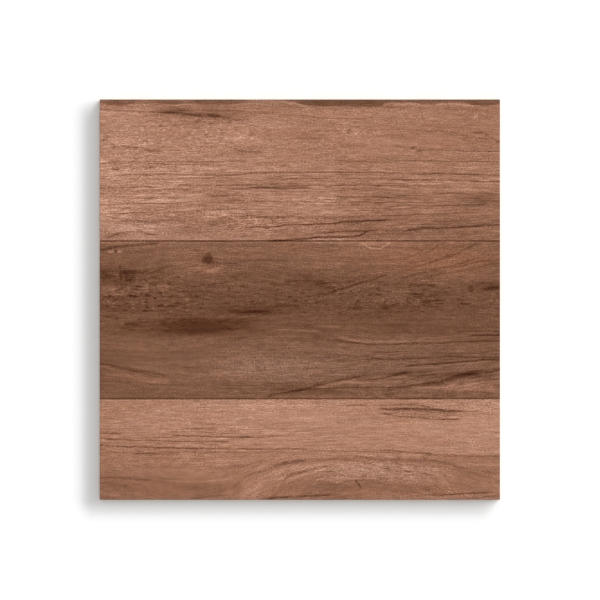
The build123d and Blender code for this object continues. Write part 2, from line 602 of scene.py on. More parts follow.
# Where the wood is redder than its tone makes it, or greyer: (across, down, half length, half height, share)
warm_patches = {
    "bark along the top edge": (300, 101.5, 320, 3.4, -0.45),
    "upper board, top right": (400, 140, 120, 30, 0.3),
    "upper board, foot at the left": (150, 232, 90, 12, -0.5),
    "middle board, top right": (440, 260, 60, 14, 1),
    "weathered band": (330, 298, 130, 10, -0.4),
    "big smear": (196, 326, 52, 8, 0.4),
    "hatched patch": (262, 366, 60, 16, -0.7),
    "foot, middle board": (390, 368, 130, 24, -0.6),
    "lower board": (300, 440, 300, 50, 0.15),
    "arch crown": (380, 472, 60, 9, -0.8),
}

# Where short strokes cross the grain: (across, down, half length, half height, share)
crossed_patches = {
    "hatched patch": (266, 366, 62, 15, 1.7),
    "arch, crown": (390, 472, 60, 9, 0.8),
    "arch, left limb": (272, 476, 16, 9, 0.8),
}

# Where pale curls lie on the wood: (across, down, half length, half height, share)
curled_patches = {
    "top at the right": (430, 118, 80, 10, 0.4),
    "under the stain": (190, 132, 60, 14, 0.8),
    "left of the knots": (348, 134, 26, 10, 0.9),
    "pale curls": (242, 138, 16, 6, 1.2),
    "upper left": (128, 146, 30, 14, 0.7),
    "rings at the left": (135, 176, 60, 22, 0.6),
    "foot of the upper board": (262, 222, 60, 12, 1),
    "wave": (130, 228, 40, 10, 0.7),
    "lower board, left": (200, 424, 100, 14, 0.6),
    "arch crown": (390, 471, 70, 9, 0.8),
}

# Lines of the print: (width, darkness, points across and down). A pale line has a negative darkness
print_lines = {
    # Upper board
    "under the bark, left": (1.3, 18, [(100, 109.3), (119, 110.4), (135, 111.3), (153, 112), (176, 113)]),
    "stain core, left": (3, 29, [(160, 111.6), (174, 113.2), (188, 114.4), (204, 116)]),
    "under the bark, right": (1.1, 9, [
        (230, 112.2), (262, 113.2), (300, 115.5), (313, 117.4), (345, 118.8), (367, 119.2),
    ]),
    "stain core, right": (2.8, 20, [(202, 115), (212, 115.6), (222, 116.6), (232, 117.4)]),
    "short line by the stain": (1.4, 18, [(228, 119.4), (240, 119.6), (251, 119.2)]),
    "line to the first knot": (1.2, 10, [
        (405, 129.8), (429, 130.9), (442, 131), (453, 132.5), (465, 135),
    ]),
    "smudge line": (2.2, 12, [(294, 137.4), (308, 138.6), (326, 139)]),
    "line past the first knot": (1.2, 16, [(490, 137.3), (500, 142.3)]),
    "line before the second knot": (1.5, 9, [(344, 145.6), (355, 145.4), (368, 145.8)]),
    "faint line, left": (1.8, 20, [(108, 147.2), (122, 146.4), (140, 147.4)]),
    "line to the second knot": (1.5, 11, [(384, 146.3), (395, 146.1), (403, 147.7), (412, 149.3)]),
    "line past the second knot": (1.3, 17, [
        (422, 150.4), (432, 149.8), (456, 150.6), (477, 151.3), (500, 151.3),
    ]),
    "core of the second smudge": (2.4, 15, [(234, 149.8), (247, 151.6), (264, 152.8)]),
    "first ring, right": (1.3, 13, [
        (334, 160.5), (354, 161), (389, 162), (408, 160.6), (430, 160.8), (452, 161.6), (475, 161.4),
        (500, 162.7),
    ]),
    "first ring, left": (1.2, 15, [
        (100, 163.4), (127, 161.6), (180, 161.6), (220, 161.6), (230, 160.6), (250, 160.7),
    ]),
    "line under the first ring": (1.3, 16, [(144, 163.9), (158, 163.6), (172, 164.5), (208, 164.4)]),
    "short dash": (1.1, 50, [(111, 169), (120, 169)]),
    "second ring, right": (1.4, 24, [
        (302, 172.4), (331, 172), (359, 172.3), (381, 172.7), (410, 174), (426, 174.3), (436, 173.7),
        (458, 174), (485, 175), (500, 175.5),
    ]),
    "second ring, left": (1.3, 15, [
        (100, 176.4), (127, 175), (153, 174.3), (209, 175), (229, 175), (256, 173), (300, 172.4),
        (306, 172.4),
    ]),
    "pale under the second ring": (1.6, -9, [(150, 176.2), (180, 176.6), (214, 176.6)]),
    "third ring, left": (1.2, 9, [(146, 179.3), (172, 179.2), (196, 178), (212, 178)]),
    "third ring, right": (1.3, 19, [
        (266, 178.4), (300, 178.3), (370, 178.7), (394, 179.4), (409, 180), (440, 180), (468, 181),
        (483, 181.8), (500, 182),
    ]),
    "fourth ring, middle": (1.3, 17, [
        (190, 185.8), (215, 185.7), (236, 185), (247, 184.7), (263, 186), (297, 185.8), (312, 185.5),
    ]),
    "fourth ring, right": (1.4, 12, [
        (308, 185.4), (328, 185.4), (349, 185), (370, 184.7), (381, 185.7), (395, 185.7), (424, 185.4),
        (450, 186.3), (466, 187.4), (500, 188.4),
    ]),
    "eye in the rings, top": (1.1, 16, [(177, 187), (183, 184.6), (188, 185.4), (192.5, 187.6)]),
    "fourth ring, left": (1.3, 21, [(100, 188), (126, 187.4), (140, 186.6), (149, 186.7), (164, 187.5)]),
    "fifth ring": (1.7, 24, [
        (226, 189.2), (242, 189), (256, 187.8), (283, 188.5), (304, 188.3), (312, 188.6),
    ]),
    "fifth ring, right": (1.5, 16, [(340, 189), (349, 188.4), (358, 189.2)]),
    "eye in the rings, foot": (1.1, 14, [(178, 188.6), (184, 190.2), (190, 189.8), (193, 188.4)]),
    "sixth ring, right": (1.2, 13, [(336, 197.6), (360, 197.4), (398, 197.6)]),
    "sixth ring": (1.2, 22, [(133, 198), (155, 198.2), (182, 197.8)]),
    "seventh ring, right": (1.2, 15, [(296, 202.2), (330, 202.2), (372, 202)]),
    "seventh ring": (1.4, 15, [
        (100, 204.9), (127, 204), (153, 203.7), (167, 203.7), (189, 202), (200, 201.2), (218, 201.7),
    ]),
    "eighth ring, right": (1.2, 9, [(296, 205.2), (340, 205), (356, 204.7), (372, 205.2)]),
    "under the edge stain": (1.6, 15, [(432, 205.6), (452, 205.2), (470, 205), (486, 204.6)]),
    "eighth ring": (1.3, 12, [(106, 208.2), (117, 208.4), (130, 208)]),
    "ninth ring, middle": (1.2, 9, [(176, 211.6), (198, 211), (230, 209.6), (262, 209.4)]),
    "ninth ring": (1.3, 12, [(100, 213.7), (115, 213.4), (130, 213.6)]),
    "fine line to the right": (1.1, 11, [
        (380, 215.6), (402, 215.2), (420, 214.6), (430, 214.8), (445, 213.8), (456, 212.8), (478, 212.5),
    ]),
    "band over the crack": (2.6, 15, [
        (236, 216.4), (248, 215.8), (262, 217.2), (284, 216.6), (306, 217.6),
    ]),
    "band over the crack, right": (2.4, 10, [(296, 217.4), (330, 218), (364, 216.6)]),
    "tenth ring": (2.2, 13, [(100, 220.6), (130, 221.4), (164, 222)]),
    "first crack": (1.6, 34, [
        (293, 224.6), (306, 224.7), (315, 224.2), (336, 223.2), (340, 221.9), (359, 221.2), (370, 220.6),
        (391, 219.6),
    ]),
    "first crack, left": (1.2, 27, [
        (240, 227.3), (262, 227), (273, 226.6), (281, 226), (288, 224.8), (297, 224.7),
    ]),
    "second crack": (1.7, 30, [
        (404, 230.6), (412, 229.6), (418, 228.4), (440, 228), (457, 227.2), (469, 226.6), (485, 225.3),
        (500, 225),
    ]),
    "second crack, left end": (1.3, 15, [(392, 230.4), (403, 230.8), (412, 229.6)]),
    "thin line over the wedge": (1.3, 19, [(314, 233.2), (340, 231.7), (359, 231.2), (378, 230.4)]),
    "wave at the foot": (1.7, 22, [
        (106, 237), (116, 234.3), (127, 232.3), (139, 231.6), (146, 233.4), (160, 234.6),
    ]),
    "pale in the wedge": (1.8, -6, [(314, 235.2), (335, 234.2), (350, 234)]),
    "crack that leaves the joint": (1.9, 40, [
        (268, 240.6), (296, 239.5), (306, 239), (319, 237.3), (349, 237), (358, 236), (363, 234.2),
        (369, 231.4),
    ]),
    "pale under the wedge": (1.2, -20, [(302, 240), (322, 238.9), (348, 238.8)]),
    # Painted highlight: a pale line above the upper joint's groove lightens the shade that the groove's wall
    # takes
    "painted highlight above the upper groove": (1, -9, [(100, 239.5), (500, 239.5)]),
    # Middle board
    # Painted highlight: a pale line below the upper joint's groove, set against the groove's shade
    "painted highlight below the upper groove": (1, -9, [(100, 242.7), (500, 242.7)]),
    "pale arc by the joint": (1.3, -22, [
        (361, 243.2), (368, 247), (376, 248.6), (384, 246.6), (391, 243),
    ]),
    "middle board, dark curve": (2.6, 21, [
        (100, 249.8), (110, 248.3), (120, 246.4), (135, 245), (151, 243.8), (160, 243),
    ]),
    "fan 1": (2.2, 13, [(424, 252.6), (434, 248.4), (446, 243)]),
    "fan 2": (2.2, 14, [(444, 256.2), (462, 250.6), (471, 246.6), (482, 242.6)]),
    "fan 3": (2, 10, [(408, 256.4), (417, 254), (426, 249.4)]),
    "faint line, middle": (2.2, 12, [(236, 260.6), (262, 260.2), (290, 260.6)]),
    "pale dashes, upper": (1.3, -9, [(298, 262.6), (325, 263.4), (348, 263)]),
    "beside the knot": (1.6, 12, [(210, 262.5), (222, 263.4), (238, 263.6)]),
    "pale dashes, upper right": (1.3, -11, [(356, 263), (375, 264), (402, 263)]),
    "fan 4": (1.8, 12, [(398, 270.6), (410, 268.6), (424, 264.2), (440, 259), (454, 255.4)]),
    "diagonal, upper right": (1.4, 15, [(448, 267.4), (469, 264.2), (492, 260.4)]),
    "fan 5": (1.8, 10, [(398, 277.6), (420, 273), (434, 269.8), (448, 266.6), (460, 263.4), (476, 260)]),
    "old stain, upper edge": (3.4, 15, [
        (118, 272.5), (136, 272.6), (148, 272.4), (160, 269.6), (172, 265.8),
    ]),
    "fan 6": (1.8, 9, [(414, 279), (444, 273), (474, 268.6), (500, 263)]),
    "brown line, middle": (1.7, 12, [(286, 281), (300, 280.6), (316, 280.6)]),
    "dark at the right edge, upper": (2.4, 12, [(474, 284.6), (486, 283.4), (500, 284)]),
    "diagonal": (2.1, 17, [(312, 295), (336, 291), (345, 288.4), (360, 283), (372, 280), (388, 275.4)]),
    "right patches, top": (2.6, 17, [(408, 286), (422, 285), (438, 285.8)]),
    "dark at the right edge": (3.8, 20, [(480, 290.6), (488, 289.2), (500, 287.4)]),
    "pale over the blots": (1.6, -16, [(103, 293.8), (118, 294.2), (128, 293.8)]),
    "right patches, middle": (3.2, 10, [(410, 294.4), (424, 296), (440, 295.6)]),
    "line of dark blots": (2, 8, [(100, 296.7), (118, 297.1), (133, 296.3), (146, 295.7), (152, 295.1)]),
    "right patches, foot": (2.6, 17, [(416, 302), (428, 301.4), (446, 300.6)]),
    "dash at the right": (2, 16, [(460, 304), (470, 304.2)]),
    "band's tail": (3, 8, [(262, 308.3), (280, 306.1), (298, 305.3)]),
    "dark band over the smear": (3.6, 19, [(228, 310.6), (243, 311.8), (262, 312.4), (273, 311.6)]),
    "smear, top edge": (2.2, 6, [(158, 319), (180, 318.4), (206, 319.6), (240, 319.2), (258, 317.6)]),
    "smear, upper core": (5, 9, [(158, 323.4), (190, 323.2), (224, 323.6), (252, 323)]),
    "left blots": (2.6, 24, [(124, 324.4), (130, 323.8), (140, 324.6)]),
    "pale dash, right": (2, -12, [(318, 326), (330, 326.2), (342, 326.6)]),
    "smear, middle core": (3.6, 8, [(164, 327), (196, 327.2), (228, 326.8)]),
    "smear, right streak": (2.6, 10, [(216, 328), (236, 328.8), (252, 327.8)]),
    "left blots, lower": (2.2, 10, [(118, 329), (126, 328.6), (134, 330)]),
    "smear, lower core": (5.5, 8, [(158, 330.4), (186, 330.4), (212, 330.8), (236, 328.8)]),
    "pale dash": (1.5, -18, [(274, 329.4), (290, 329.6), (306, 330.6), (320, 331)]),
    "smear, foot of the core": (4, 8, [(160, 331), (190, 331.2), (222, 330.8)]),
    "line by the right edge, upper": (1.4, 11, [(454, 331.4), (476, 330.8), (500, 331)]),
    "line by the right edge": (1.9, 30, [(468, 335.6), (484, 335.2), (500, 335.4)]),
    "foot of the smear": (2.6, 13, [(228, 337.8), (238, 338.8), (248, 337.2)]),
    "soft start of the long line": (3.4, 9, [(304, 337.2), (320, 338.4), (340, 341.4)]),
    "pale over the long line": (2.8, -13, [
        (338, 336.9), (352, 339.9), (366, 341.5), (384, 342.1), (410, 340.9), (452, 339.9),
    ]),
    "long line": (1.6, 17, [
        (332, 339.6), (342, 341.5), (351, 342.4), (362, 343.6), (371, 344.4), (391, 344.4), (406, 343.5),
        (420, 342.8), (437, 343.2), (453, 341.9), (468, 341.5), (500, 341),
    ]),
    "line under the long one": (1.6, 20, [
        (362, 359.6), (378, 358.5), (397, 358.9), (416, 358.5), (440, 357.5), (450, 356.3), (475, 357.3),
        (500, 357.4),
    ]),
    "slow line": (1.7, 25, [
        (404, 365.8), (434, 364.2), (456, 362.2), (476, 360.6), (487, 359.6), (500, 359.8),
    ]),
    "pale under the slow line": (2.2, -6, [(410, 368.6), (436, 367), (458, 364.6), (480, 363)]),
    "small dark lines": (2.2, 9, [(168, 364.4), (186, 367.4), (206, 368.4)]),
    "left curve": (2.3, 16, [
        (100, 364), (119, 367.6), (128, 369.6), (146, 371.8), (158, 374.3), (170, 375.6),
    ]),
    "third limb, far end": (2.4, 21, [(484, 373), (492, 371.4), (500, 369.4)]),
    "left curve, second": (1.6, 11, [(126, 371), (140, 372.8), (160, 376.4)]),
    "second limb, thick": (3.4, 17, [(392, 375.2), (400, 373.2), (409, 372.2)]),
    "second limb": (1.9, 15, [
        (358, 381.4), (370, 379.6), (383, 378.3), (395, 375), (406, 372.8), (413, 372.4),
    ]),
    "third limb, thick": (4, 18, [
        (422, 383.8), (436, 382.6), (446, 380.6), (454, 377.8), (462, 375.4), (474, 372.8), (490, 370),
    ]),
    "pale under the curve": (4.4, -12, [(104, 374.6), (128, 376.4), (150, 380), (172, 381.4)]),
    "thick crack, tail": (2, 15, [(316, 385.1), (339, 380.3), (359, 376.9), (369, 373.7)]),
    "line under the left curve": (1.7, 8, [
        (100, 381), (124, 382), (139, 382.3), (154, 384.3), (175, 385), (199, 384.3), (230, 383.4),
        (250, 383.7),
    ]),
    "pale between the limbs": (3.2, -17, [
        (318, 387.3), (330, 384.3), (350, 381.7), (360, 382.7), (372, 383.3),
    ]),
    "line by the tongue": (1.3, 12, [(212, 385.2), (232, 385.4), (262, 385.2), (276, 385.8)]),
    "third limb": (1.9, 19, [
        (306, 389.6), (322, 388.3), (339, 387.7), (365, 387), (395, 387.4), (412, 385.7), (424, 383.7),
        (440, 382), (449, 379.6),
    ]),
    "pale under the third limb": (2.6, -15, [(408, 388.8), (428, 387.8), (446, 387.4), (458, 385.2)]),
    "pale line between the limbs": (1.4, -14, [
        (300, 391.8), (318, 387.6), (340, 387.2), (362, 386.6), (392, 386),
    ]),
    "thick crack": (3.4, 19, [(284, 392.4), (295, 391.2), (303, 389.4), (312, 387.7), (322, 384.6)]),
    "dark foot, right": (3, 14, [(458, 392.4), (474, 391.8), (492, 392.4)]),
    "crack at the second joint": (2.2, 16, [(264, 396.9), (271, 394.9), (282, 392.9), (304, 390.2)]),
    # Lower board
    "dash before the streaks": (1.5, 24, [(344, 405.6), (357, 405), (368, 405.2)]),
    "lower board, pale line": (1.3, -8, [(204, 405.6), (240, 405.2), (300, 405.6), (318, 405.4)]),
    "streak 1": (1.5, 17, [(374, 405.6), (392, 405.2), (408, 404.4), (424, 406), (434, 408)]),
    "streak 2": (2, 41, [
        (378, 409), (394, 409.5), (409, 408.9), (429, 409.5), (438, 410.1), (454, 411.1), (464, 411.2),
    ]),
    "streak 2, tail": (1.3, 14, [(452, 411), (468, 411.4), (484, 411)]),
    "streak 3": (1.8, 22, [(378, 413.6), (393, 415.5), (411, 417), (425, 417.2)]),
    "streak 4": (1.6, 18, [(420, 418.8), (432, 419), (446, 419.2)]),
    "streak 4, right": (1.5, 36, [(440, 419.3), (450, 419.3), (461, 419.2)]),
    "pale lines, middle": (1.6, -15, [(226, 427.2), (238, 427), (251, 427.4)]),
    "smudge over the rings": (1.8, 25, [(182, 428.8), (200, 428.6), (218, 428.4)]),
    "first line, left": (1.3, 23, [(100, 433.2), (112, 433.4), (122, 433.6)]),
    "dark ring": (1.5, 30, [(171, 435.5), (189, 435.8), (210, 436.5), (236, 437), (252, 437.3)]),
    "dark ring, end": (1.2, 18, [(246, 437.2), (260, 437.4), (270, 437.4)]),
    "second line, left": (1.5, 25, [(105, 439.1), (115, 439.2), (124, 439.2)]),
    "second line, on": (1.3, 20, [(122, 439.8), (140, 440.6), (158, 440.9), (200, 441.6), (232, 441.6)]),
    "long ring, left": (1.4, 25, [
        (100, 445.3), (112, 446.2), (132, 446.7), (149, 447), (159, 447.9), (174, 448), (191, 448.5),
    ]),
    "long ring": (1.3, 22, [(186, 448.4), (236, 448.9), (270, 449.3), (289, 448.9), (312, 449)]),
    "faint ring, right": (1.4, 16, [(306, 451), (340, 451.2), (374, 451.8), (404, 453)]),
    "ring over the arch": (1.6, 23, [(376, 450.2), (396, 450.9), (409, 452.3), (422, 453), (434, 454)]),
    "faint ring, left": (2.2, 8, [(100, 452.6), (124, 452.8), (188, 452.6), (260, 452.2), (300, 452.6)]),
    "short ring": (1.4, 17, [(131, 453.6), (145, 453.8), (156, 454.2), (176, 454.2)]),
    "ring over the arch, end": (2.4, 19, [(424, 454.2), (454, 455.6), (500, 456)]),
    "pale over the arc, right": (2.4, -8, [(356, 455.2), (380, 455.4), (404, 455.8), (420, 456)]),
    "outer arc, crown": (2.8, 17, [(290, 461.2), (305, 460.2), (320, 459.8), (335, 459), (350, 458.8)]),
    "upper arc": (3, 8, [(236, 467), (250, 465), (258, 461.4), (268, 458.6), (282, 455.4)]),
    "outer arc, right": (3, 21, [
        (352, 457), (380, 459.4), (410, 460.2), (430, 461), (440, 462.2), (452, 464.8), (464, 468),
    ]),
    "outer arc, falling": (2.6, 14, [
        (344, 459.4), (352, 460.2), (366, 462.6), (374, 465), (384, 467), (394, 468.6),
    ]),
    "pale between the arcs": (2.4, -8, [(249, 472.6), (262, 466), (272, 461), (285, 457.4)]),
    "pale line at the right edge": (2.2, -14, [(462, 464), (480, 464.8), (500, 465)]),
    "pale over the inner arc": (2.2, -11, [(298, 469.4), (308, 467), (318, 465.4), (332, 464.2)]),
    "outer arc": (3.2, 17, [
        (242, 478), (250, 474.4), (262, 469.6), (270, 466.8), (280, 464), (290, 462), (306, 460.8),
    ]),
    "arc inside the inner one": (1.8, 9, [(314, 474), (324, 471.6), (334, 471)]),
    "stroke down the arch": (1.6, 9, [(420, 467), (430, 474), (442, 482)]),
    "inner arc": (2.3, 23, [
        (280, 487), (283, 481.6), (287, 477.6), (293, 474.6), (300, 472.2), (310, 469.8), (320, 467.8),
        (330, 466.2),
    ]),
    "pale in the inner arc": (2.5, -13, [
        (286, 482.4), (291, 479.4), (296, 477.2), (303, 474.8), (312, 472.2), (320, 470), (331, 468.2),
    ]),
    "second arc inside it": (1.8, 7, [(318, 477.4), (330, 475), (345, 474.6)]),
    "second stroke down the arch": (1.6, 8, [(434, 469), (444, 476), (454, 483)]),
    "shade's edge, left": (2, 14, [(100, 478.2), (112, 477.7), (128, 478.4), (150, 480.2)]),
    "pale fringe, left": (1.8, -6, [(166, 481), (184, 481.4), (204, 481), (236, 479.4)]),
    "inner shade's top edge": (1.8, 11, [
        (322, 482.4), (338, 484.2), (346, 481.6), (354, 480.2), (362, 479.8), (371, 480.8), (380, 483),
        (391, 486),
    ]),
    "line at the foot, right": (1.5, 28, [(440, 494.9), (456, 494), (478, 492.9), (493, 492.4)]),
    "line by the right foot": (1.6, 14, [(418, 495.4), (432, 494.8), (446, 495.6)]),
    "line at the foot, middle": (1.4, 11, [(294, 497), (306, 496.2), (328, 495), (342, 494.4)]),
    "foot of the inner shade": (1.6, 11, [(264, 498.6), (290, 496.4), (312, 495.6), (334, 495.4)]),
    "foot at the left of the arch": (1.8, 11, [(190, 498.4), (212, 496.6), (232, 495)]),
    "last line at the right foot": (1.4, 15, [(466, 498.4), (484, 497.2), (500, 496)]),
    "line at the foot, left": (1.6, 20, [(263, 498.7), (276, 497.4), (292, 496.8)]),
}

# Small marks of the print: (across, down, half length, half height, darkness)
print_marks = {
    # Upper board
    "stain core, left": (178, 111.6, 7, 2.6, 16),
    "stain core, middle": (190, 114.4, 8, 1.5, 16),
    "pale spot": (476, 115.6, 2.2, 3.2, -32),
    "stain core": (214.5, 116, 6, 2.2, 20),
    "first knot, top": (479, 132.6, 6, 1.3, 34),
    "first knot, right": (486.5, 134.8, 2.6, 1.6, 24),
    "fleck 1": (246, 136, 4, 1.2, -8),
    "first knot, pale": (478, 136.2, 3.6, 1.1, -22),
    "left edge smudge": (106.5, 137.4, 3.4, 2.2, 24),
    "first knot, foot": (483, 138.6, 6, 1, 20),
    "fleck 2": (239, 139.4, 5, 1.8, -10),
    "second knot, left": (413.5, 147.6, 3, 1.5, 28),
    "left smudge": (153.5, 150.4, 8.5, 1.8, 24),
    "second knot, pale": (413, 150.4, 2.6, 0.9, -14),
    "second knot, right": (419.5, 150.6, 3.6, 1.4, 26),
    "fleck 3": (142.5, 156, 2.2, 1, -16),
    "rings smudge": (150, 163.8, 5, 1.2, 9),
    "pale lens": (177, 182.4, 5, 2.4, -12),
    "dark in the rings": (352, 185.3, 5, 1.2, 14),
    "dark in the rings, right": (377, 186, 5, 1.1, 16),
    "dark dent": (356, 204.8, 4.5, 1.2, 11),
    "pale band in the foot": (203, 239.6, 8, 0.9, -14),
    # Middle board
    "tick under the joint": (293.2, 245.2, 1, 2, 17),
    "dot": (115.8, 251.2, 1.6, 1.5, 32),
    "pale by the dot, right": (119.8, 251.6, 2.4, 1.5, -38),
    "pale by the dot, left": (110.8, 251.8, 3, 1.5, -38),
    "dark knot, top": (209, 254.4, 3, 2.4, 14),
    "dark knot": (207.6, 259.4, 6.2, 5.4, 36),
    "pale under the knot, left": (178, 263.2, 7, 1.4, -10),
    "small dark spot": (119.6, 267.2, 1.8, 1.6, 14),
    "pale by the knot, right": (216, 268, 5, 1.6, -18),
    "pale by the knot": (211, 271, 7, 2.4, -22),
    "old stain, left": (105.5, 275.6, 6.4, 5, 12),
    "old stain, core": (128.5, 276, 9, 8, 15),
    "upright 1": (120.4, 276, 0.9, 10, 18),
    "upright in the stain 1": (126.4, 276, 1.4, 6, 7),
    "pale in the stain": (123.6, 277, 1, 6, -5),
    "upright in the stain 2": (133, 279, 1.2, 5, 7),
    "old stain, foot": (131, 281.5, 4, 2.6, 9),
    "dark patch 1": (320, 283, 6, 3.6, 12),
    "comma 1": (372, 283.4, 3, 0.9, 12),
    "comma 2": (396.5, 283.4, 3.5, 0.9, 9),
    "comma 3": (384, 284.6, 4.5, 0.9, 10),
    "pale block": (163, 287, 6.6, 3.4, -15),
    "pale upright": (146.6, 287.4, 2.6, 4.6, -18),
    "upright 2": (150, 287.5, 0.9, 5, 18),
    "upright 3": (170, 287.5, 0.9, 4.4, 15),
    "slant at the right": (471, 288.5, 2.6, 4, 26),
    "dark patch 2": (330, 288.6, 7, 2.6, 12),
    "dark block at the right edge": (490, 288.8, 9, 2.4, 14),
    "pale left": (108.6, 289, 8.6, 3.4, -17),
    "dash in the weathered wood 1": (274, 291.4, 5, 1.1, 14),
    "pale run": (132, 291.6, 14, 1.1, -10),
    "blot in the line, right": (147, 295.4, 4, 1.8, 20),
    "pale fleck 1": (321, 295.4, 1.8, 0.9, -16),
    "blot in the line": (133, 296, 6, 2.2, 18),
    "blot in the line, left": (107, 296.4, 5, 1.2, 12),
    "pale fleck 2": (313.5, 296.4, 1.6, 1, -18),
    "dash in the weathered wood 2": (196, 296.6, 6, 1.2, 15),
    "blot 1": (412, 298, 7, 2.4, 11),
    "fleck in the weathered wood": (186, 299.4, 3, 1.4, -12),
    "pale fleck 3": (497.6, 300, 2, 1, -22),
    "pale fleck 4": (492, 300.6, 2.4, 1.2, -24),
    "blot 2": (370, 301, 4, 1.8, 11),
    "blot 3": (426, 303, 5, 2.6, 12),
    "dash in the weathered wood 3": (226, 303, 6, 1.1, 10),
    "dash in the weathered wood 4": (172, 306, 5, 1.4, 12),
    "blot 4": (431, 306.6, 4, 1.8, 11),
    "blot 5": (357, 307.4, 4.6, 3.6, 13),
    "blot 6": (386, 307.4, 6, 3, 13),
    "band, dark middle": (254, 311.4, 12, 1.6, 12),
    "dash by the left edge": (106, 317, 5, 1.4, 12),
    "dark spot": (403.4, 382.6, 1.6, 1.4, 15),
    "pale end": (490, 388.6, 5, 3.2, -9),
    "pale fleck 5": (236, 391.4, 4, 0.9, -12),
    # Lower board
    "pale spots in the lower board 1": (196, 404.6, 3.4, 1.2, -12),
    "pale spots in the lower board 2": (253, 409.6, 3, 1.6, -12),
    "pale spots in the lower board 3": (158, 410.4, 9, 2, -6),
    "pale spots in the lower board 4": (306, 418, 5, 1.6, -8),
    "pale spots in the lower board 5": (212, 420.6, 7, 1.4, -9),
    "pale spots in the lower board 6": (142.5, 425.4, 3, 1.4, -10),
    "tick in the lower board": (355, 447.4, 2.2, 0.8, 12),
    "ring blot 1": (193, 452, 3, 1.8, 8),
    "smudge over the arch, right": (425, 457, 4.6, 3.4, 9),
    "ring blot 2": (158.5, 457.4, 4, 1.2, 8),
    "smudge over the arch": (399, 458.5, 3.4, 7, 10),
    "blot in the outer arc": (285.6, 462.8, 3.4, 1.9, 15),
    "arch fleck 1": (404, 463.6, 6, 0.9, -13),
    "arch fleck 2": (378, 464, 4, 0.9, -14),
    "arch fleck 3": (341.4, 464.6, 1.8, 0.9, -22),
    "arch fleck 4": (436, 470.4, 4, 0.9, -12),
    "block right of the arch": (468.5, 472, 7, 4, 8),
    "arch fleck 5": (343.4, 477, 1.5, 1, -18),
    "slanted mark, top": (356.9, 481.4, 1.1, 2.2, 36),
    "bright fleck in the arch": (337, 482.4, 1.6, 1, -34),
    "slanted mark, middle": (358.7, 484.4, 1.1, 2, 38),
    "slanted mark, foot": (360.5, 487, 1.1, 1.6, 30),
}

# The bark left along the top edge: how far down it reaches, (across, down)
bark_edge = [
    (100, 103.6), (112, 105.6), (124, 105.4), (138, 103.6), (156, 103.6), (170, 104.4), (190, 103.8),
    (204, 104.8), (226, 104.6), (244, 103), (258, 101.4), (274, 100.8), (288, 101.4), (298, 103),
    (304, 105), (310, 105.8), (322, 106.4), (344, 106.2), (366, 106.8), (380, 105.8), (386, 103.4),
    (396, 102.4), (412, 102.8), (422, 104), (432, 104.4), (440, 103), (456, 102.4), (466, 103.2),
    (473, 105), (482, 105.8), (494, 105.2), (500, 104.4),
]
# How dark the bark is along the edge, (across, share from 0 to 1)
bark_depth = [
    (100, 0.45), (110, 0.8), (134, 0.7), (145, 0.45), (158, 0.75), (190, 0.7), (200, 0.95), (236, 0.9),
    (246, 0.55), (262, 0.3), (276, 0.4), (300, 0.85), (340, 0.95), (382, 0.85), (392, 0.8), (470, 0.85),
    (500, 0.85),
]
# How much of a pale rim the bark has, (across, share from 0 to 1)
bark_rim = [
    (100, 0), (262, 0), (276, 0.5), (300, 0.7), (312, 0.2), (320, 0.05), (376, 0.05), (386, 0.9),
    (396, 0.8), (416, 0.7), (428, 0.25), (438, 0.7), (450, 0.5), (458, 0.8), (470, 0.8), (478, 0.1),
    (500, 0.35),
]


def ease(part):
    """A smooth step from 0 to 1."""
    part = np.clip(part, 0.0, 1.0)
    return part * part * (3.0 - 2.0 * part)


def mesh_noise(name, across, down):
    """One of the mesh's noises, smooth, from -1 to 1."""
    length, height, seed = mesh_noises[name]
    across, down = across / length, down / height
    size = 256
    table = np.random.default_rng(seed).uniform(-1.0, 1.0, (size, size))
    column, row = np.floor(across).astype(int), np.floor(down).astype(int)
    part_across, part_down = ease(across - column), ease(down - row)

    def corner(right, below):
        return table[(column + right) % size, (row + below) % size]

    upper = corner(0, 0) * (1 - part_across) + corner(1, 0) * part_across
    lower = corner(0, 1) * (1 - part_across) + corner(1, 1) * part_across
    return upper * (1 - part_down) + lower * part_down


def smooth_line(points, across):
    """How far down a smooth line through the points is, at each place across."""
    known_across, known_down = np.array(points, float).T
    slopes = np.gradient(known_down, known_across)
    left = np.clip(np.searchsorted(known_across, across) - 1, 0, len(points) - 2)
    gap = known_across[left + 1] - known_across[left]
    part = np.clip((across - known_across[left]) / gap, 0.0, 1.0)
    start, end = known_down[left], known_down[left + 1]
    straight = start + (end - start) * ease(part)
    lean_start = slopes[left] * gap * part * (1 - part) ** 2
    lean_end = slopes[left + 1] * gap * part**2 * (1 - part)
    return straight + lean_start - lean_end


def line_strength(points):
    """How strong a line is, as places along it: it fades in and out, but not at the print's edges."""
    longest_fade, fade_share, edge = 8.0, 0.25, 2.0
    first, last = points[0][0], points[-1][0]
    fade = min(longest_fade, fade_share * (last - first))
    strength = [(first - fade / 2, 0.0), (first + fade, 1.0), (last - fade, 1.0), (last + fade / 2, 0.0)]
    if first < print_left + edge:
        strength = strength[1:]
    if last > print_right - edge:
        strength = strength[:-1]
    return strength


def grain_line(across, down):
    """How far down each point of the grid would be if the grain ran straight."""
    levels = [np.mean([point[1] for point in line]) for line in grain_flow]
    lines = [smooth_line(line, across[0]) for line in grain_flow]
    straight = np.empty_like(down)
    for column in range(down.shape[1]):
        heights = np.maximum.accumulate([line[column] for line in lines])
        straight[:, column] = np.interp(down[:, column], heights, levels)
    return straight


def board_number(down):
    """Which board a place is on: 0 for the upper one, 1 for the middle one, 2 for the lower one."""
    return sum(down > joint for joint in joint_downs)


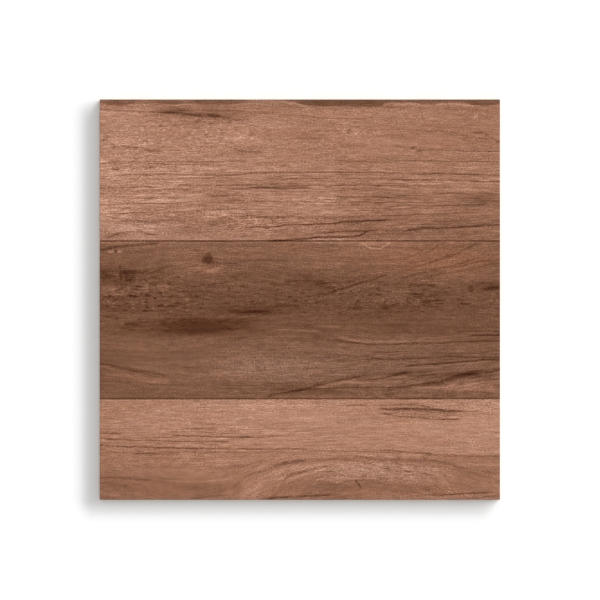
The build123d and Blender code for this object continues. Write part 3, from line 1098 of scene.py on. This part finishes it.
def patchwork(patches, across, down):
    """The sum of soft patches at each point of the grid. Each patch stays on its own board."""
    strayed_across = across + patch_wander[0] * mesh_noise("patches across", across, down)
    strayed_down = down + patch_wander[1] * mesh_noise("patches down", across, down)
    board = board_number(down)
    total = np.zeros_like(down)
    for patch_across, patch_down, half_length, half_height, amount in patches.values():
        away = ((strayed_across - patch_across) / half_length) ** 2
        away += ((strayed_down - patch_down) / half_height) ** 2
        total += amount * np.exp(-away) * (board == board_number(patch_down))
    return total


def print_tone(across, down):
    """The print's broad tone at each point of the grid."""
    upper, middle, lower = board_tones
    plain = np.select([down < joint_downs[0], down > joint_downs[1]], [upper, lower], middle)
    return plain + patchwork(tone_patches, across, down)


def line_depth(across, down):
    """How deep the print's dark lines are pressed at each point of the grid, as a share."""
    depth = np.zeros_like(down)
    for width, darkness, points in print_lines.values():
        if darkness > 0:
            strength = np.interp(across, *zip(*line_strength(points)))
            away = np.abs(down - smooth_line(points, across)) / (width * pressed_reach)
            depth += darkness / full_depth_darkness * strength * (1 - ease(away))
    return np.minimum(depth, deepest_line)


def face_relief(across, down, straight):
    """How far the face lies below its plane, apart from the joints."""
    fibres = mesh_noise("long fibres", across, straight)
    fibres = fibres + short_fibre_share * mesh_noise("short fibres", across, straight)
    fibres = (1 + short_fibre_share) + fibres
    waves = 1 + mesh_noise("waves", across, straight)
    return line_relief * line_depth(across, down) + fibre_relief * fibres + wave_relief * waves


def joint_groove(y):
    """How far the joints between the boards are cut below the face."""
    away = np.minimum(np.abs(y - lower_joint_y), np.abs(y - upper_joint_y))
    return joint_depth * np.clip(1 - away / (joint_width / 2), 0, 1)


def spaced(breaks, step):
    """Places from the first break to the last, through each of them, about a step apart."""
    places = []
    for start, end in zip(breaks, breaks[1:]):
        count = max(1, round((end - start) / step))
        places.extend(np.linspace(start, end, count, endpoint=False))
    return np.array(places + [breaks[-1]])


def grid_places():
    """Where the grid's columns and rows are: some on each edge, and some in each joint."""
    corner_centre = tile_side / 2 - corner_radius
    face_half = tile_side / 2 - arris_radius
    edge = [corner_centre, (corner_centre + face_half) / 2, face_half]
    far_edge = [-place for place in reversed(edge)]
    groove = [part * joint_width for part in (-0.5, -0.25, 0, 0.25, 0.5)]
    grooves = [joint_y + place for joint_y in (lower_joint_y, upper_joint_y) for place in groove]
    return spaced(far_edge + edge, column_step), spaced(far_edge + grooves + edge, row_step)


def corner_directions(x, y):
    """The foot of each point on the square through the corner centres, and which way out it lies."""
    corner_centre = tile_side / 2 - corner_radius
    foot_x = np.clip(x, -corner_centre, corner_centre)
    foot_y = np.clip(y, -corner_centre, corner_centre)
    out_x, out_y = np.abs(x - foot_x), np.abs(y - foot_y)
    reach = np.maximum(out_x, out_y)
    widest = np.where(reach > 0, reach, 1.0)
    quarter = math.pi / 4
    angle = np.where(out_x >= out_y, quarter * out_y / widest, 2 * quarter - quarter * out_x / widest)
    return foot_x, foot_y, np.sign(x) * np.cos(angle), np.sign(y) * np.sin(angle), reach


def grid_quads(first, columns, rows, upwards):
    """The faces of a grid whose points are numbered row by row from first."""
    start = first + np.arange(rows - 1)[:, None] * columns + np.arange(columns - 1)
    corners = [start, start + 1, start + columns + 1, start + columns]
    if not upwards:
        corners.reverse()
    return np.stack(corners, -1).reshape(-1, 4).tolist()


def grid_border(first, columns, rows):
    """The points round a grid, counter-clockwise from its first corner."""
    along = first + np.arange(columns)
    up = first + np.arange(rows) * columns
    top, right = along + (rows - 1) * columns, up + columns - 1
    return np.concatenate([along[:-1], right[:-1], top[:0:-1], up[:0:-1]])


def side_progress(x, y):
    """How far round a square each point of a border is, from 0 to 4, starting at its first corner."""
    reach = np.maximum(np.abs(x), np.abs(y)).max()
    part_x, part_y = 0.5 + 0.5 * x / reach, 0.5 + 0.5 * y / reach
    across = np.abs(y) >= np.abs(x)
    sides = [across & (y < 0), ~across & (x > 0), across]
    return np.select(sides, [part_x, 1 + part_y, 3 - part_x], 4 - part_y)


def zipped(outer, outer_progress, inner, inner_progress):
    """Triangles that join two rings of unlike counts, facing down."""
    triangles = []
    at_outer = at_inner = 0
    while at_outer < len(outer) or at_inner < len(inner):
        next_outer = outer_progress[at_outer + 1] if at_outer + 1 < len(outer) else 4.0
        next_inner = inner_progress[at_inner + 1] if at_inner + 1 < len(inner) else 4.0
        here, there = outer[at_outer % len(outer)], inner[at_inner % len(inner)]
        if at_outer < len(outer) and (at_inner >= len(inner) or next_outer <= next_inner):
            at_outer += 1
            triangles.append((here, there, outer[at_outer % len(outer)]))
        else:
            at_inner += 1
            triangles.append((here, there, inner[at_inner % len(inner)]))
    return triangles


class Shell:
    """The tile's mesh as it is gathered: points, faces, and the points' places on an unfolded map."""

    def __init__(self):
        self.points, self.unfolded, self.faces = [], [], []

    def add(self, x, y, z):
        """Add points and give their numbers."""
        first = sum(len(group) for group in self.points)
        self.points.append(np.stack([x, y, z], -1).reshape(-1, 3))
        return first + np.arange(len(self.points[-1]))

    def unfold(self, x, y):
        """Say where the points added last lie on the map."""
        self.unfolded.append(np.stack([x, y], -1).reshape(-1, 2))


def add_face(shell, x, y, relief):
    """The glazed face, with its corners drawn in to the tile's round ones."""
    foot_x, foot_y, out_x, out_y, reach = corner_directions(x, y)
    face_x, face_y = foot_x + out_x * reach, foot_y + out_y * reach
    shell.add(face_x, face_y, face_height - relief - joint_groove(y))
    shell.unfold(face_x, face_y)
    rows, columns = x.shape
    shell.faces += grid_quads(0, columns, rows, True)


def edge_profile():
    """Rings down from the face: (height, inset from the tile's outline, how much relief is left)."""
    rings = []
    for turn in arris_turns:
        along, away = math.cos(math.radians(turn)), math.sin(math.radians(turn))
        rings.append((face_height - arris_radius * (1 - along), arris_radius * (1 - away), along))
    rings += [(face_height - glazed_strip, 0, 0), (land_middle, 0, 0), (back_draw_height, 0, 0)]
    return rings + [(back_draw_height / 2, back_inset / 2, 0), (0, back_inset, 0)]


def add_sides(shell, rings, border, edge):
    """Rings of points down the arris and sides. Gives the last ring, and the number of glazed faces."""
    foot_x, foot_y, out_x, out_y, _ = corner_directions(edge.x, edge.y)
    upper_ring = border
    run = corner_radius - arris_radius
    last_height, last_inset = face_height, arris_radius
    for height, inset, relief_left in rings:
        run += math.hypot(last_height - height, last_inset - inset)
        rough = 0.0
        if 0 < height < face_height - arris_radius:
            # This noise runs along the sides in pixels, and up them in millimetres
            level = np.full(len(border), height / MM)
            rough = side_roughness * (1 + mesh_noise("sides", edge.across + edge.down, level))
        distance = corner_radius - inset - rough
        ring_z = np.minimum(height - edge.relief * relief_left, face_height - joint_groove(edge.y))
        ring = shell.add(foot_x + out_x * distance, foot_y + out_y * distance, ring_z)
        shell.unfold(foot_x + out_x * run, foot_y + out_y * run)
        quads = [upper_ring, ring, np.roll(ring, -1), np.roll(upper_ring, -1)]
        shell.faces += np.stack(quads, -1).tolist()
        if height >= face_height - glazed_strip:
            glazed_faces = len(shell.faces)
        upper_ring, last_height, last_inset = ring, height, inset
    return upper_ring, glazed_faces


def add_back(shell, outer):
    """The back: drafted square pockets between ribs, inside a plain border."""
    half = pocket_side / 2
    narrowing = pocket_depth * math.tan(pocket_draft)
    lines, deep = [], []
    for number in range(pockets_per_row):
        middle = (number - (pockets_per_row - 1) / 2) * (pocket_side + rib_width)
        lines += [middle - half, middle - half + narrowing, middle + half - narrowing, middle + half]
        deep += [0, 1, 1, 0]
    x, y = np.meshgrid(lines, lines)
    first = shell.add(x, y, pocket_depth * np.outer(deep, deep))[0]
    shell.faces += grid_quads(first, len(lines), len(lines), False)
    inner = grid_border(first, len(lines), len(lines))
    places = np.concatenate(shell.points)[:, :2]
    outer_progress, inner_progress = side_progress(*places[outer].T), side_progress(*places[inner].T)
    shell.faces += zipped(outer, outer_progress, inner, inner_progress)


def add_fields(mesh, fields, border, ring_count):
    """Give each field to the points of the face, and to the rings the values of the face's border."""
    for name, field in fields.items():
        values = np.zeros(len(mesh.vertices), np.float32)
        ring_values = np.tile(field.ravel()[border], ring_count)
        values[: field.size] = field.ravel()
        values[field.size : field.size + len(ring_values)] = ring_values
        mesh.attributes.new(name, "FLOAT", "POINT").data.foreach_set("value", values)


def add_bake_map(mesh, shell, side_faces):
    """The bake's map: the face with its sides folded out takes most of it, and the back the rest."""
    places = np.concatenate(shell.points)
    known = np.concatenate(shell.unfolded)
    unfolded = np.zeros((len(places), 2))
    unfolded[: len(known)] = 0.5 + 0.5 * known / np.abs(known).max()
    back = 0.5 + 0.5 * places[:, :2] / (tile_side / 2)
    corner_points = np.empty(len(mesh.loops), np.int32)
    mesh.loops.foreach_get("vertex_index", corner_points)
    face_of_corner = np.repeat(np.arange(len(shell.faces)), [len(face) for face in shell.faces])
    (face_corner, face_size), (back_corner, back_size) = face_on_map, back_on_map
    map_places = np.where(
        face_of_corner[:, None] >= side_faces,
        back_corner + back[corner_points] * back_size,
        face_corner + unfolded[corner_points] * face_size,
    )
    mesh.uv_layers.new(name="OFBake").data.foreach_set("uv", map_places.astype(np.float32).ravel())


def placed(name, data):
    """A new object in the scene."""
    piece = bpy.data.objects.new(name, data)
    bpy.context.scene.collection.objects.link(piece)
    return piece


def build_tile():
    """The whole tile as one closed mesh: glazed face, arris, sides and ribbed back."""
    columns, rows = grid_places()
    x, y = np.meshgrid(columns, rows)
    across = middle_across + x / metres_per_pixel
    down = middle_down - y / metres_per_pixel
    straight = grain_line(across, down)
    relief = face_relief(across, down, straight)
    border = grid_border(0, len(columns), len(rows))
    grid = {"x": x, "y": y, "across": across, "down": down, "relief": relief}
    edge = SimpleNamespace(**{name: field.ravel()[border] for name, field in grid.items()})

    shell = Shell()
    rings = edge_profile()
    add_face(shell, x, y, relief)
    last_ring, glazed_faces = add_sides(shell, rings, border, edge)
    side_faces = len(shell.faces)
    add_back(shell, last_ring)

    mesh = bpy.data.meshes.new("wood_look_tile")
    mesh.from_pydata(np.concatenate(shell.points).tolist(), [], shell.faces)
    fields = {
        "grain_line": straight,
        "tone": print_tone(across, down),
        "streaked": patchwork(streaked_patches, across, down),
        "weathered": patchwork(weathered_patches, across, down),
        "lively": 1 + patchwork(lively_patches, across, down),
        "warm": patchwork(warm_patches, across, down),
        "crossed": patchwork(crossed_patches, across, down),
        "curled": patchwork(curled_patches, across, down),
    }
    add_fields(mesh, fields, border, len(rings))
    add_bake_map(mesh, shell, side_faces)
    mesh.materials.append(glazed_material())
    mesh.materials.append(body_material())
    slots = np.zeros(len(shell.faces), np.int32)
    slots[glazed_faces:] = 1
    mesh.polygons.foreach_set("material_index", slots)
    mesh.polygons.foreach_set("use_smooth", np.ones(len(shell.faces), bool))
    mesh.set_sharp_from_angle(angle=crease_angle)
    mesh.update()
    return placed("wood_look_tile", mesh)


def linear(red, green, blue):
    """A colour given from 0 to 255, as the renderer takes it."""
    parts = [part / 255 for part in (red, green, blue)]
    return tuple(p / 12.92 if p <= 0.04045 else ((p + 0.055) / 1.055) ** 2.4 for p in parts) + (1.0,)


def glazed(red, green, blue):
    """The print's own colour where it shows as given through the sheen of the glaze."""
    shown = linear(red, green, blue)
    return tuple(max(0.0, part - glaze_sheen) for part in shown[:3]) + (1.0,)


class Nodes:
    """A material's nodes, made by short calls that take numbers or other nodes' outputs."""

    def __init__(self, name):
        self.material = bpy.data.materials.new(name)
        self.material.use_nodes = True
        self.tree = self.material.node_tree
        self.tree.nodes.clear()

    def add(self, kind, inputs=(), **settings):
        """A new node with its settings, and with its inputs by number or name."""
        node = self.tree.nodes.new("ShaderNode" + kind)
        for name, value in settings.items():
            setattr(node, name, value)
        for key, value in dict(inputs).items():
            if isinstance(value, bpy.types.NodeSocket):
                self.tree.links.new(value, node.inputs[key])
            else:
                node.inputs[key].default_value = value
        return node

    def math(self, operation, *values):
        return self.add("Math", enumerate(values), operation=operation).outputs[0]

    def vector(self, operation, *values):
        node = self.add("VectorMath", enumerate(values), operation=operation)
        return node.outputs["Value" if operation == "DOT_PRODUCT" else "Vector"]

    def joined(self, x, y, z):
        return self.add("CombineXYZ", {0: x, 1: y, 2: z}).outputs[0]

    def split(self, vector):
        return self.add("SeparateXYZ", {0: vector}).outputs

    def attribute(self, name):
        return self.add("Attribute", attribute_name=name).outputs["Fac"]

    def ranged(self, value, low, high, to_low=0.0, to_high=1.0):
        """A smooth step of a number from one range to another."""
        inputs = enumerate((value, low, high, to_low, to_high))
        return self.add("MapRange", inputs, interpolation_type="SMOOTHSTEP").outputs[0]

    def ranged_three(self, vector, highs, to_lows):
        """Three smooth steps at once, each from to_low at 0 down to 0 at its high."""
        first_vector_input = 6
        inputs = enumerate((vector, (0, 0, 0), highs, to_lows, (0, 0, 0)), first_vector_input)
        node = self.add("MapRange", inputs, data_type="FLOAT_VECTOR", interpolation_type="SMOOTHSTEP")
        return node.outputs["Vector"]

    def noise(self, name, across, down):
        """One of the materials' noises, about 0. Each is its own slice of one noise."""
        slice_gap = 17.0
        length, height, detail, seed = node_noises[name]
        across, down = self.math("DIVIDE", across, length), self.math("DIVIDE", down, height)
        place = self.joined(across, down, slice_gap * seed)
        node = self.add("TexNoise", {"Vector": place, "Scale": 1.0, "Detail": detail})
        return self.math("SUBTRACT", node.outputs["Fac"], 0.5)

    def where_high(self, name, noise):
        """The change that the named noise makes where it is high."""
        start, whole, change = shown_where_high[name]
        return self.ranged(noise, start, whole, 0.0, change)

    def curves(self, vector, *channels):
        """A curve for each part of a vector, from 0 to 1. Each is a list of places, smoothly joined."""
        node = self.add("VectorCurve", {"Vector": vector})
        for curve, places in zip(node.mapping.curves, channels):
            if places[0][0] > 0:
                places = [(0.0, places[0][1]), *places]
            if places[-1][0] < 1:
                places = [*places, (1.0, places[-1][1])]
            while len(curve.points) < len(places):
                curve.points.new(0.5, 0.5)
            for point, place in zip(curve.points, places):
                point.location = place
                point.handle_type = "AUTO_CLAMPED"
        node.mapping.clip_min_x = 0.0
        node.mapping.extend = "HORIZONTAL"
        node.mapping.update()
        return node.outputs["Vector"]

    def ramp(self, value, stops):
        """A colour for each value, from a dictionary of colours by value."""
        node = self.add("ValToRGB", {"Fac": value})
        elements = node.color_ramp.elements
        while len(elements) < len(stops):
            elements.new(0.5)
        for element, (place, colour) in zip(elements, stops.items()):
            element.position = place
            element.color = colour
        return node.outputs["Color"]

    def mixed(self, part, first, second):
        """A mix of two colours, which are inputs 6 and 7 of the node. Output 2 is its colour."""
        return self.add("Mix", {"Factor": part, 6: first, 7: second}, data_type="RGBA").outputs[2]

    def bumped(self, height, distance, strength):
        inputs = {"Height": height, "Distance": distance, "Strength": strength}
        return self.add("Bump", inputs).outputs["Normal"]

    def finish(self, kind, inputs):
        """The finished material, with a shader of a kind and its inputs by name."""
        shader = self.add(kind, inputs)
        self.add("OutputMaterial", {"Surface": shader.outputs[0]})
        return self.material


def part_across(place):
    """How far across the print a pixel is, from 0 to 1."""
    return min(1.0, max(0.0, (place - print_left) / print_side))


def parts_across(nodes, across):
    """How far across the print a point is, from 0 to 1, three times over."""
    part = nodes.math("MULTIPLY_ADD", across, 1 / print_side, -print_left / print_side)
    return nodes.joined(part, part, part)


def line_values(width, darkness, points):
    """What the nodes need of a line: scale, shift, reach, darkness, and curves of course and strength.

    The course is drawn from 0 to 1 in a band with room above and below it. Thin lines are drawn
    darker, because they blur.
    """
    lowest, highest = max(down for _, down in points), min(down for _, down in points)
    middle, rise = (lowest + highest) / 2, lowest - highest
    band = least_band + band_for_rise * rise
    lean = rise / (points[-1][0] - points[0][0])
    reach = line_reach * width * math.hypot(1, lean) / band
    dark = line_gain * darkness * (1 + width**-2)
    course = [(part_across(across), 0.5 + (down - middle) / band) for across, down in points]
    strength = [(part_across(across), share) for across, share in line_strength(points)]
    return 1 / band, 0.5 - middle / band, reach, dark, course, strength


def draw_lines(nodes, across, down):
    """The darkness that all lines add up to, three to a batch, each in one channel of the curves."""
    parts = parts_across(nodes, across)
    downs = nodes.joined(down, down, down)
    level = [(0.0, 0.0), (1.0, 0.0)]
    lines = [line_values(*line) for line in print_lines.values()]
    lines += [(0.0, 0.0, 1.0, 0.0, level, level)] * (-len(lines) % 3)
    total = 0.0
    for first in range(0, len(lines), 3):
        scales, shifts, reaches, darknesses, courses, strengths = zip(*lines[first : first + 3])
        course = nodes.curves(parts, *courses)
        strength = nodes.curves(parts, *strengths)
        placed_down = nodes.vector("MULTIPLY_ADD", downs, scales, shifts)
        away = nodes.vector("ABSOLUTE", nodes.vector("SUBTRACT", placed_down, course))
        dark = nodes.ranged_three(away, reaches, darknesses)
        total = nodes.math("ADD", nodes.vector("DOT_PRODUCT", dark, strength), total)
    return total


def draw_marks(nodes, across, down):
    """The darkness that all marks add up to, three to a batch."""
    acrosses, downs = nodes.joined(across, across, across), nodes.joined(down, down, down)
    marks = list(print_marks.values())
    marks += [(0.0, 0.0, 1.0, 1.0, 0.0)] * (-len(marks) % 3)
    total = 0.0
    for first in range(0, len(marks), 3):
        mark_across, mark_down, half_length, half_height, darkness = zip(*marks[first : first + 3])
        shift_across = [-place / half for place, half in zip(mark_across, half_length)]
        shift_down = [-place / half for place, half in zip(mark_down, half_height)]
        along = nodes.vector("MULTIPLY_ADD", acrosses, [1 / half for half in half_length], shift_across)
        upward = nodes.vector("MULTIPLY_ADD", downs, [1 / half for half in half_height], shift_down)
        away = nodes.vector("MULTIPLY_ADD", upward, upward, nodes.vector("MULTIPLY", along, along))
        dark = nodes.ranged_three(away, [mark_reach] * 3, darkness)
        total = nodes.math("ADD", nodes.vector("DOT_PRODUCT", dark, (1, 1, 1)), total)
    return total


def draw_bark(nodes, across, down, ragged):
    """How the bark along the top edge changes the tone: dark above its edge, with a pale rim."""
    edge_curve = [(part_across(place), (down - print_top) / bark_reach) for place, down in bark_edge]
    depth_curve = [(part_across(place), share) for place, share in bark_depth]
    rim_curve = [(part_across(place), share) for place, share in bark_rim]
    curves = nodes.curves(parts_across(nodes, across), edge_curve, depth_curve, rim_curve)
    edge, depth, rim = nodes.split(curves)
    edge = nodes.math("MULTIPLY_ADD", edge, bark_reach, print_top)
    above = nodes.math("ADD", nodes.math("SUBTRACT", edge, down), ragged)
    dark = nodes.math("MULTIPLY", nodes.ranged(above, *bark_blur, 0.0, -bark_darkness), depth)
    away = nodes.math("ABSOLUTE", nodes.math("ADD", above, bark_rim_place))
    pale = nodes.math("MULTIPLY", nodes.ranged(away, 0.0, bark_rim_half, bark_rim_tone, 0.0), rim)
    return nodes.math("ADD", dark, pale)


def draw_features(nodes, at):
    """The darkness of all lines and marks, which waver a little and break up along their length."""
    at.wander = nodes.noise("wander down", at.across, at.down)
    at.strayed_down = nodes.math("MULTIPLY_ADD", at.wander, wander_down, at.down)
    aside = nodes.noise("wander across", at.across, at.down)
    at.strayed_across = nodes.math("MULTIPLY_ADD", aside, wander_across, at.across)
    lines = draw_lines(nodes, at.strayed_across, at.strayed_down)
    marks = draw_marks(nodes, at.strayed_across, at.strayed_down)
    at.breaks = nodes.noise("breaks", at.across, at.down)
    broken = nodes.math("MULTIPLY_ADD", at.breaks, line_breaks, 1.0)
    return nodes.math("MULTIPLY", nodes.math("ADD", lines, marks), broken)


def clouded(nodes, at, tone):
    """The tone with clouds along the grain, dark rings, and the bark at the top edge."""
    middling = nodes.noise("middling clouds", at.across, at.straight)
    broad = nodes.noise("broad clouds", at.across, at.straight)
    at.cloudy = nodes.noise("small clouds", at.strayed_across, at.straight)
    for cloud, gain in zip((middling, broad, at.cloudy), cloud_gains.values()):
        tone = nodes.math("MULTIPLY_ADD", cloud, gain, tone)
    rings = nodes.noise("rings", at.across, at.straight)
    tone = nodes.math("SUBTRACT", tone, nodes.where_high("rings", rings))
    ragged = nodes.math("MULTIPLY", at.cloudy, bark_raggedness)
    return nodes.math("ADD", tone, draw_bark(nodes, at.strayed_across, at.strayed_down, ragged))


def pale_less_dark(nodes, flecks, across, down):
    """Pale flecks less dark ones, each kind from its own noise."""
    dark = nodes.noise("dark " + flecks, across, down)
    pale = nodes.noise("pale " + flecks, across, down)
    pale = nodes.where_high("pale " + flecks, pale)
    return nodes.math("SUBTRACT", pale, nodes.where_high("dark " + flecks, dark))


def pale_curls(nodes, across, down):
    """Pale curls: thin lines along the middle level of a noise, in pieces."""
    curl = nodes.math("ABSOLUTE", nodes.noise("curls", across, down))
    pieces = nodes.where_high("pieces of curls", nodes.noise("pieces of curls", across, down))
    return nodes.math("MULTIPLY", nodes.ranged(curl, *curl_edges, 1.0, 0.0), pieces)


def fine_grain(nodes, at):
    """Fibres and specks all over, then streaks, ticks, curls and strokes, each in its own regions."""
    at.fibres = nodes.noise("fibres", at.across, at.straight)
    at.specks = nodes.noise("specks", at.across, at.down)
    streaked = nodes.attribute("streaked")
    grain = nodes.math("MULTIPLY", at.fibres, fibre_gain)
    gain = nodes.math("MULTIPLY_ADD", streaked, speck_gain_in_streaks, speck_gain)
    grain = nodes.math("MULTIPLY_ADD", at.specks, gain, grain)
    liveliness = nodes.noise("liveliness", at.across, at.straight)
    lively = nodes.math("MULTIPLY_ADD", liveliness, liveliness_gain, nodes.attribute("lively"))
    grain = nodes.math("MULTIPLY", grain, lively)

    streaks = pale_less_dark(nodes, "streaks", at.across, at.straight)
    grain = nodes.math("MULTIPLY_ADD", streaks, streaked, grain)
    ticks = pale_less_dark(nodes, "ticks", at.strayed_across, at.strayed_down)
    grain = nodes.math("MULTIPLY_ADD", ticks, nodes.attribute("weathered"), grain)
    curls = pale_curls(nodes, at.across, at.down)
    grain = nodes.math("MULTIPLY_ADD", curls, nodes.attribute("curled"), grain)
    strokes = nodes.math("MULTIPLY", nodes.noise("strokes across", at.across, at.down), stroke_gain)
    return nodes.math("MULTIPLY_ADD", strokes, nodes.attribute("crossed"), grain)


def with_joints(nodes, at, tone):
    """The tone with the joints between the boards, which are the darkest lines."""
    for down, darkness in printed_joints:
        strayed = nodes.math("MULTIPLY_ADD", at.wander, joint_wander, at.down)
        away = nodes.math("ABSOLUTE", nodes.math("SUBTRACT", strayed, down))
        dark = nodes.ranged(away, *joint_blur, darkness, 0.0)
        broken = nodes.math("MULTIPLY_ADD", at.breaks, joint_breaks, 1.0)
        tone = nodes.math("SUBTRACT", tone, nodes.math("MULTIPLY", dark, broken))
    return tone


def print_colour(nodes, at, tone):
    """The print's colour at a tone, in places redder or greyer."""
    stops = {level / 255: glazed(*seen) for level, seen in print_colours.items()}
    colour = nodes.ramp(nodes.math("DIVIDE", tone, 255.0), stops)
    hue = nodes.noise("hue", at.across, at.straight)
    hue = nodes.math("MULTIPLY_ADD", hue, hue_gain, nodes.attribute("warm"))
    tint = nodes.vector("MULTIPLY_ADD", nodes.joined(hue, hue, hue), redder, (1, 1, 1))
    return nodes.vector("MULTIPLY", colour, tint)


def fired_clay(nodes, place):
    """The colour of the bare clay, pale with a little iron speck, and its fine grit."""
    x, y, z = nodes.split(place)
    cloud = nodes.noise("clay clouds", x, y)
    grit = nodes.noise("grit", nodes.math("ADD", x, z), nodes.math("SUBTRACT", y, z))
    level = nodes.math("MULTIPLY_ADD", cloud, clay_cloud_gain, clay_level)
    level = nodes.math("MULTIPLY_ADD", grit, grit_gain, level)
    colour = nodes.ramp(level, {stop: linear(*seen) for stop, seen in clay_colours.items()})
    speck = nodes.ranged(grit, *iron_specks, 0.0)
    return nodes.mixed(speck, colour, linear(*iron_colour)), grit


def glazed_material():
    """The glazed print on the face, which runs over the arris and ends in a pale engobe line."""
    nodes = Nodes("glazed_print")
    place = nodes.add("TexCoord").outputs["Object"]
    to_pixels = (1 / metres_per_pixel, -1 / metres_per_pixel, 1)
    pixels = nodes.vector("MULTIPLY_ADD", place, to_pixels, (middle_across, middle_down, 0))
    across, down, height = nodes.split(pixels)
    at = SimpleNamespace(across=across, down=down, straight=nodes.attribute("grain_line"))
    tone = nodes.attribute("tone")
    drawn = draw_features(nodes, at)
    tone = clouded(nodes, at, tone)
    grain = fine_grain(nodes, at)
    contrast = nodes.math("MULTIPLY_ADD", tone, *grain_contrast)
    tone = nodes.math("MULTIPLY_ADD", grain, contrast, tone)
    tone = nodes.math("SUBTRACT", tone, drawn)
    colour = print_colour(nodes, at, with_joints(nodes, at, tone))

    # The glaze ends on the side in an uneven line, with a thread of engobe below it
    clay, _ = fired_clay(nodes, place)
    uneven = nodes.noise("end of the glaze", at.across, at.down)
    glaze_end = nodes.math("MULTIPLY_ADD", uneven, glaze_unevenness, face_height - glaze_reach)
    below = nodes.math("SUBTRACT", glaze_end, height)
    colour = nodes.mixed(nodes.ranged(below, *engobe_start), colour, linear(*engobe_colour))
    colour = nodes.mixed(nodes.ranged(below, *engobe_end), colour, clay)
    bare = nodes.ranged(below, 0.0, bare_by)

    # Satin glaze, rougher where it is cloudy and in the lines, with fibres that stand out a little
    roughness = nodes.math("MULTIPLY_ADD", at.cloudy, satin_in_clouds, satin)
    roughness = nodes.math("MULTIPLY_ADD", drawn, satin_in_lines, roughness)
    roughness = nodes.math("MAXIMUM", roughness, nodes.math("MULTIPLY", bare, fired_roughness))
    raised = nodes.math("MULTIPLY", at.specks, raised_specks)
    raised = nodes.math("MULTIPLY_ADD", at.fibres, raised_fibres, raised)
    looks = {"Base Color": colour, "Roughness": roughness, "Normal": nodes.bumped(raised, *glaze_bump)}
    return nodes.finish("BsdfPrincipled", {**looks, "Specular IOR Level": glaze_specular})


def body_material():
    """The bare sides and back, with kiln wash left on the ribs."""
    nodes = Nodes("fired_body")
    place = nodes.add("TexCoord").outputs["Object"]
    x, y, z = nodes.split(place)
    clay, grit = fired_clay(nodes, place)
    wash = nodes.noise("kiln wash", x, y)
    on_rib = nodes.ranged(z, *rib_top, 1.0, 0.0)
    washed = nodes.math("MULTIPLY", nodes.where_high("kiln wash", wash), on_rib)
    colour = nodes.mixed(washed, clay, linear(*wash_colour))
    normal = nodes.bumped(grit, *grit_bump)
    looks = {"Base Color": colour, "Roughness": fired_roughness, "Normal": normal}
    return nodes.finish("BsdfPrincipled", looks)


def pale_floor():
    """A level white floor that shows the tile's shadow, and stays white to the horizon."""
    half, floor_height, lit_grey = 40.0, -0.2 * MM, 0.75
    corners = [(-half, -half), (half, -half), (half, half), (-half, half)]
    mesh = bpy.data.meshes.new("floor")
    mesh.from_pydata([(x, y, floor_height) for x, y in corners], [], [(0, 1, 2, 3)])
    nodes = Nodes("floor")
    path = nodes.add("LightPath").outputs
    seen = nodes.math("MAXIMUM", path["Is Camera Ray"], path["Is Glossy Ray"])
    colour = nodes.mixed(seen, (lit_grey, lit_grey, lit_grey, 1), (1, 1, 1, 1))
    mesh.materials.append(nodes.finish("BsdfDiffuse", {"Color": colour}))
    floor = placed("floor", mesh)


def light_scene():
    """A white dome, and a low strip of key lamps from the upper right, which makes the shadow."""
    light_level, key_share = 1.02, 0.428
    key_height, key_spread = 17.2, 12.0
    key_turns = (10.0, 22.0, 34.0, 46.0, 58.0)
    world = bpy.data.worlds.new("studio")
    world.use_nodes = True
    background = world.node_tree.nodes["Background"]
    path = world.node_tree.nodes.new("ShaderNodeLightPath")
    seen = world.node_tree.nodes.new("ShaderNodeMapRange")
    seen.inputs["To Min"].default_value = light_level - key_share
    seen.inputs["To Max"].default_value = 1.0
    world.node_tree.links.new(path.outputs["Is Camera Ray"], seen.inputs["Value"])
    world.node_tree.links.new(seen.outputs["Result"], background.inputs["Strength"])
    background.inputs["Color"].default_value = (1, 1, 1, 1)
    bpy.context.scene.world = world
    lamp = bpy.data.lights.new("key", "SUN")
    lamp.energy = math.pi * key_share / math.sin(math.radians(key_height)) / len(key_turns)
    lamp.angle = math.radians(key_spread)
    for turn in key_turns:
        placed("key", lamp).rotation_euler = (0, math.radians(90 - key_height), math.radians(turn))


def place_camera():
    """Straight above the face, far off with a long lens, so that the tile fills the photo's square."""
    camera_height, sensor, view_end = 6.0, 36.0, 100.0
    lens = bpy.data.cameras.new("camera")
    lens.sensor_width = sensor
    lens.lens = sensor * (camera_height - face_height) / (photo_side * metres_per_pixel)
    lens.clip_end = view_end
    camera = placed("camera", lens)
    aside, above = photo_side / 2 - middle_across, middle_down - photo_side / 2
    camera.location = (aside * metres_per_pixel, above * metres_per_pixel, camera_height)
    bpy.context.scene.camera = camera


tile = build_tile()
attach(tile, "root")
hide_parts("tile")
pale_floor()
light_scene()
place_camera()
bpy.context.scene.view_settings.view_transform = "Standard"
